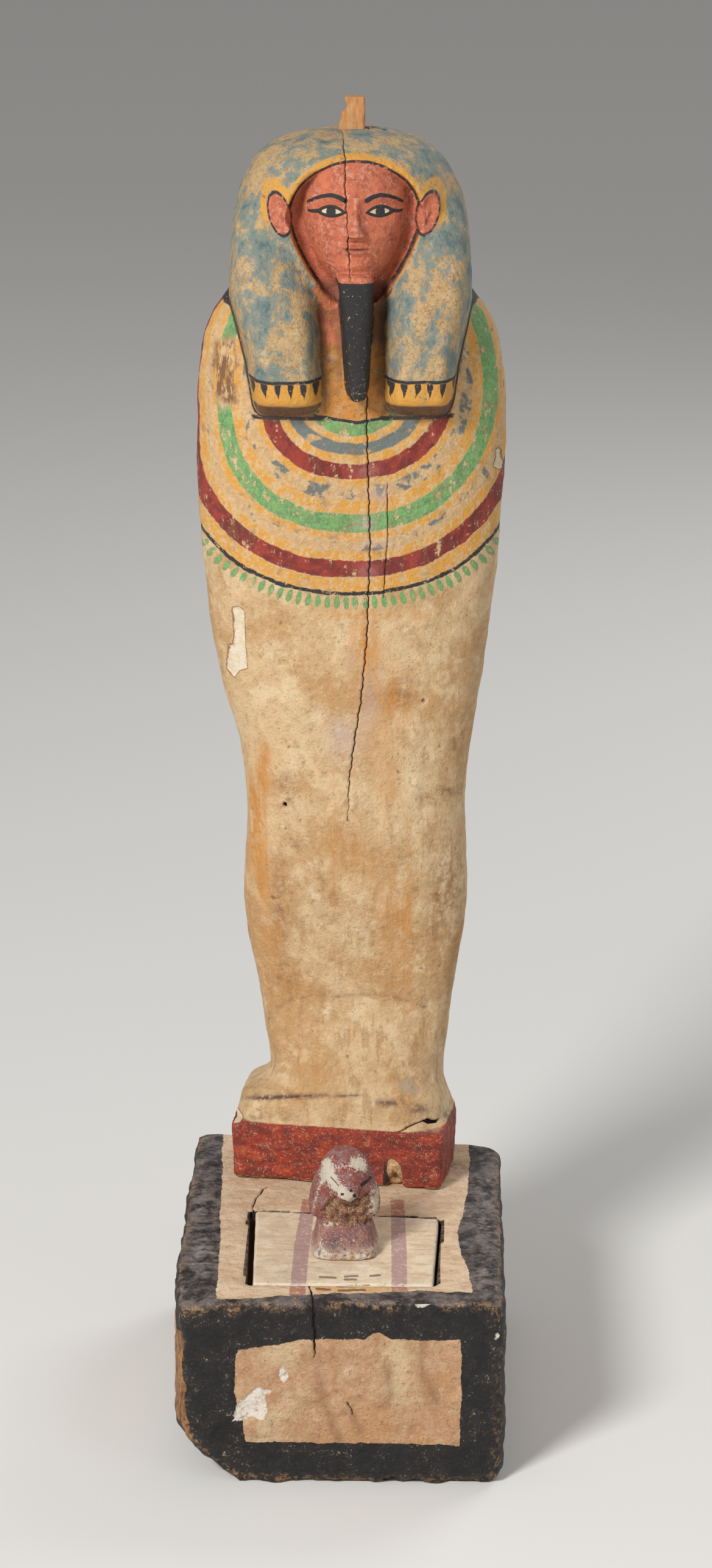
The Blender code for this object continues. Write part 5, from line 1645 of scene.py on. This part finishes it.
def lid_paint():
    coat = Coat("greyish_lid_paint")
    worn = coat.noise(0.0022, 5.0, 0.75, shift=3.0)
    long_grain = coat.noise(0.004, 4.0, 0.65, place=coat.stretched((0.25, 1.0, 1.0)), shift=5.0)
    colour = coat.wash(LID_GREY, LID_PALE, coat.noise(0.014, 4.0, 0.65), 0.4, 0.62)
    colour = coat.wash(colour, TAN, long_grain, 0.5, 0.68, 0.45)
    colour = coat.wash(colour, tone(150, 128, 104), worn, 0.46, 0.34, 0.4)
    stripe = coat.between(coat.drawn("stripe", 0.004, 0.6, 7.0), -0.2, 0.4)
    colour = coat.mix(coat.both(stripe, coat.between(worn, 0.68, 0.54), 0.85), colour, MAUVE)
    dash = coat.between(coat.drawn("dash", 0.002, 0.2, 9.0), -0.1, 0.15)
    colour = coat.mix(coat.both(dash, 0.75), colour, DEEP_BROWN_AND_SHADE)
    rubbed = coat.both(coat.between(coat.field("hollow"), -0.12, -0.35), coat.between(worn, 0.42, 0.56))
    colour = coat.mix(coat.both(rubbed, 0.8), colour, PLASTER_WHITE)
    specks = coat.between(coat.noise(0.001, 3.0, 0.6, shift=11.0), 0.68, 0.75)
    colour = coat.mix(coat.both(specks, 0.5), colour, WARM_BROWN)
    height = coat.add(worn, coat.both(long_grain, 1.2))
    return coat.finish(colour, 0.74, height, 0.6, 0.0007)


def falcon_paint():
    coat = Coat("mauve_falcon_paint")
    cloud = coat.noise(0.0055, 5.0, 0.7, 0.3)
    worn = coat.noise(0.0019, 5.0, 0.8, shift=2.0)
    fine = coat.noise(0.0007, 3.0, 0.75, shift=4.0)
    rise = coat.field("rise")
    colour = coat.wash(FALCON_MAUVE, FALCON_RED, cloud, 0.42, 0.56)
    colour = coat.wash(colour, FALCON_PURPLE, worn, 0.48, 0.36, 0.55)
    foot = coat.between(rise, 0.36, 0.3)
    colour = coat.mix(coat.both(foot, coat.between(cloud, 0.44, 0.6)), colour, FALCON_PINK)
    blotch = coat.both(coat.field("blotch"), coat.between(worn, 0.35, 0.55))
    colour = coat.stain(colour, FALCON_PURPLE, blotch, 0.9)
    chest = coat.between(coat.wobble(coat.drawn("chest", 0.003, 0.6, 4.0), 0.001, 0.3), -0.2, 0.6)
    rough = coat.wash(tone(110, 66, 48), tone(172, 124, 92), worn, 0.38, 0.62)
    rough = coat.wash(rough, CREAM, fine, 0.56, 0.62, 0.7)
    colour = coat.mix(chest, colour, rough)
    edge = coat.both(coat.field("wing_edge"), coat.between(worn, 0.46, 0.56))
    colour = coat.stain(colour, PLASTER_WHITE, edge, 0.8)
    uneven = coat.add(coat.both(coat.less(worn, 0.5), 2.2), coat.both(coat.less(fine, 0.5), 1.2))
    loss = coat.add(coat.field("loss"), uneven)
    loss = coat.add(loss, coat.both(coat.between(cloud, 0.56, 0.68), 0.3))
    colour = coat.wash(colour, PLASTER_WHITE, loss, 0.4, 0.54, 0.9)
    scattered = coat.both(coat.between(fine, 0.565, 0.62), 0.75)
    colour = coat.mix(scattered, colour, PLASTER_CREAM)
    hem = coat.both(coat.field("hem"), coat.between(worn, 0.4, 0.52))
    colour = coat.mix(coat.both(hem, 0.85), colour, coat.wash(PLASTER_WHITE, OCHRE, cloud, 0.5, 0.64))
    # Painted shade: the falcon's creases and hollows are darkened in deep brown
    painted_crease_shade = coat.between(coat.field("hollow"), 0.08, 0.3)
    colour = coat.mix(coat.both(painted_crease_shade, 0.7), colour, DEEP_BROWN_AND_SHADE)
    eye_line = coat.between(coat.field("eye_line"), -0.1, 0.15)
    dark = coat.either(eye_line, coat.between(coat.field("beak_dark"), 0.45, 0.6))
    colour = coat.mix(coat.both(dark, coat.between(worn, 0.68, 0.55)), colour, INK_BLACK)
    height = coat.add(worn, coat.both(fine, 0.6))
    return coat.finish(colour, 0.8, height, 1.0, 0.0011)


def tenon_wood():
    coat = Coat("bare_tenon_wood")
    grain = coat.noise(0.0012, 5.0, 0.7, 0.4, place=coat.stretched((1.0, 1.0, 0.14)), shift=2.0)
    cloud = coat.noise(0.006, 3.0, 0.6)
    colour = coat.wash(BARE_WOOD, tone(168, 112, 66), grain, 0.34, 0.66)
    colour = coat.wash(colour, TAN, cloud, 0.45, 0.7, 0.5)
    # Painted shade: the tenon's hollows are darkened towards dark wood
    colour = coat.wash(colour, DARK_WOOD, coat.field("hollow"), 0.05, 0.2, 0.6)
    return coat.finish(colour, 0.8, grain, 0.5, 0.0005)


# Stage
FLOOR_SIZE = 40.0
WORLD_TONE = (1.0, 1.0, 1.0, 1.0)
WORLD_STRENGTH = 0.3
# name, place, size, energy
LAMPS = (
    ("key_light", (-1.2, -1.85, 1.75), 0.7, 68.0),
    ("fill_light", (1.7, -1.6, 0.8), 1.6, 7.0),
    ("rim_light", (1.2, 1.5, 1.5), 1.2, 14.0),
)


def add_floor():
    deselect_all()
    bpy.ops.mesh.primitive_plane_add(size=FLOOR_SIZE, location=(0, 0, 0))
    floor = bpy.context.object
    floor.name = "pale_floor"
    coat = Coat("pale_floor_paint")
    cloud = coat.noise(0.6, 2.0)
    coat.feed(coat.shader.inputs["Base Color"], coat.mix(coat.both(cloud, 0.1), FLOOR_TONE, FLOOR_SHADE))
    coat.shader.inputs["Roughness"].default_value = 0.9
    floor.data.materials.append(coat.material)


def add_lamps():
    aim = CAMERA_TARGET
    for name, place, size, energy in LAMPS:
        turn = (aim - Vector(place)).to_track_quat("-Z", "Y").to_euler()
        bpy.ops.object.light_add(type="AREA", location=place, rotation=turn)
        lamp = bpy.context.object
        lamp.name = name
        lamp.data.shape = "DISK"
        lamp.data.size = size
        lamp.data.energy = energy
    world = bpy.data.worlds.new("soft_room")
    world.use_nodes = True
    room = world.node_tree.nodes["Background"]
    room.inputs["Color"].default_value = WORLD_TONE
    room.inputs["Strength"].default_value = WORLD_STRENGTH
    bpy.context.scene.world = world


def add_camera():
    sight = bpy.data.cameras.new("photograph_camera")
    sight.sensor_width = SENSOR_MM
    sight.lens = LENS_PIXELS / PHOTO_HEIGHT * SENSOR_MM
    camera = bpy.data.objects.new("photograph_camera", sight)
    camera.location = CAMERA_PLACE
    camera.rotation_euler = (math.pi / 2 - CAMERA_ELEVATION, 0.0, CAMERA_AZIMUTH)
    bpy.context.scene.collection.objects.link(camera)
    bpy.context.scene.camera = camera
    bpy.context.scene.view_settings.view_transform = "Standard"


add_camera()
add_floor()
add_lamps()
dress_figure()
dress_plinth()
dress_lid()
dress_falcon()
dress_tenon()
deselect_all()
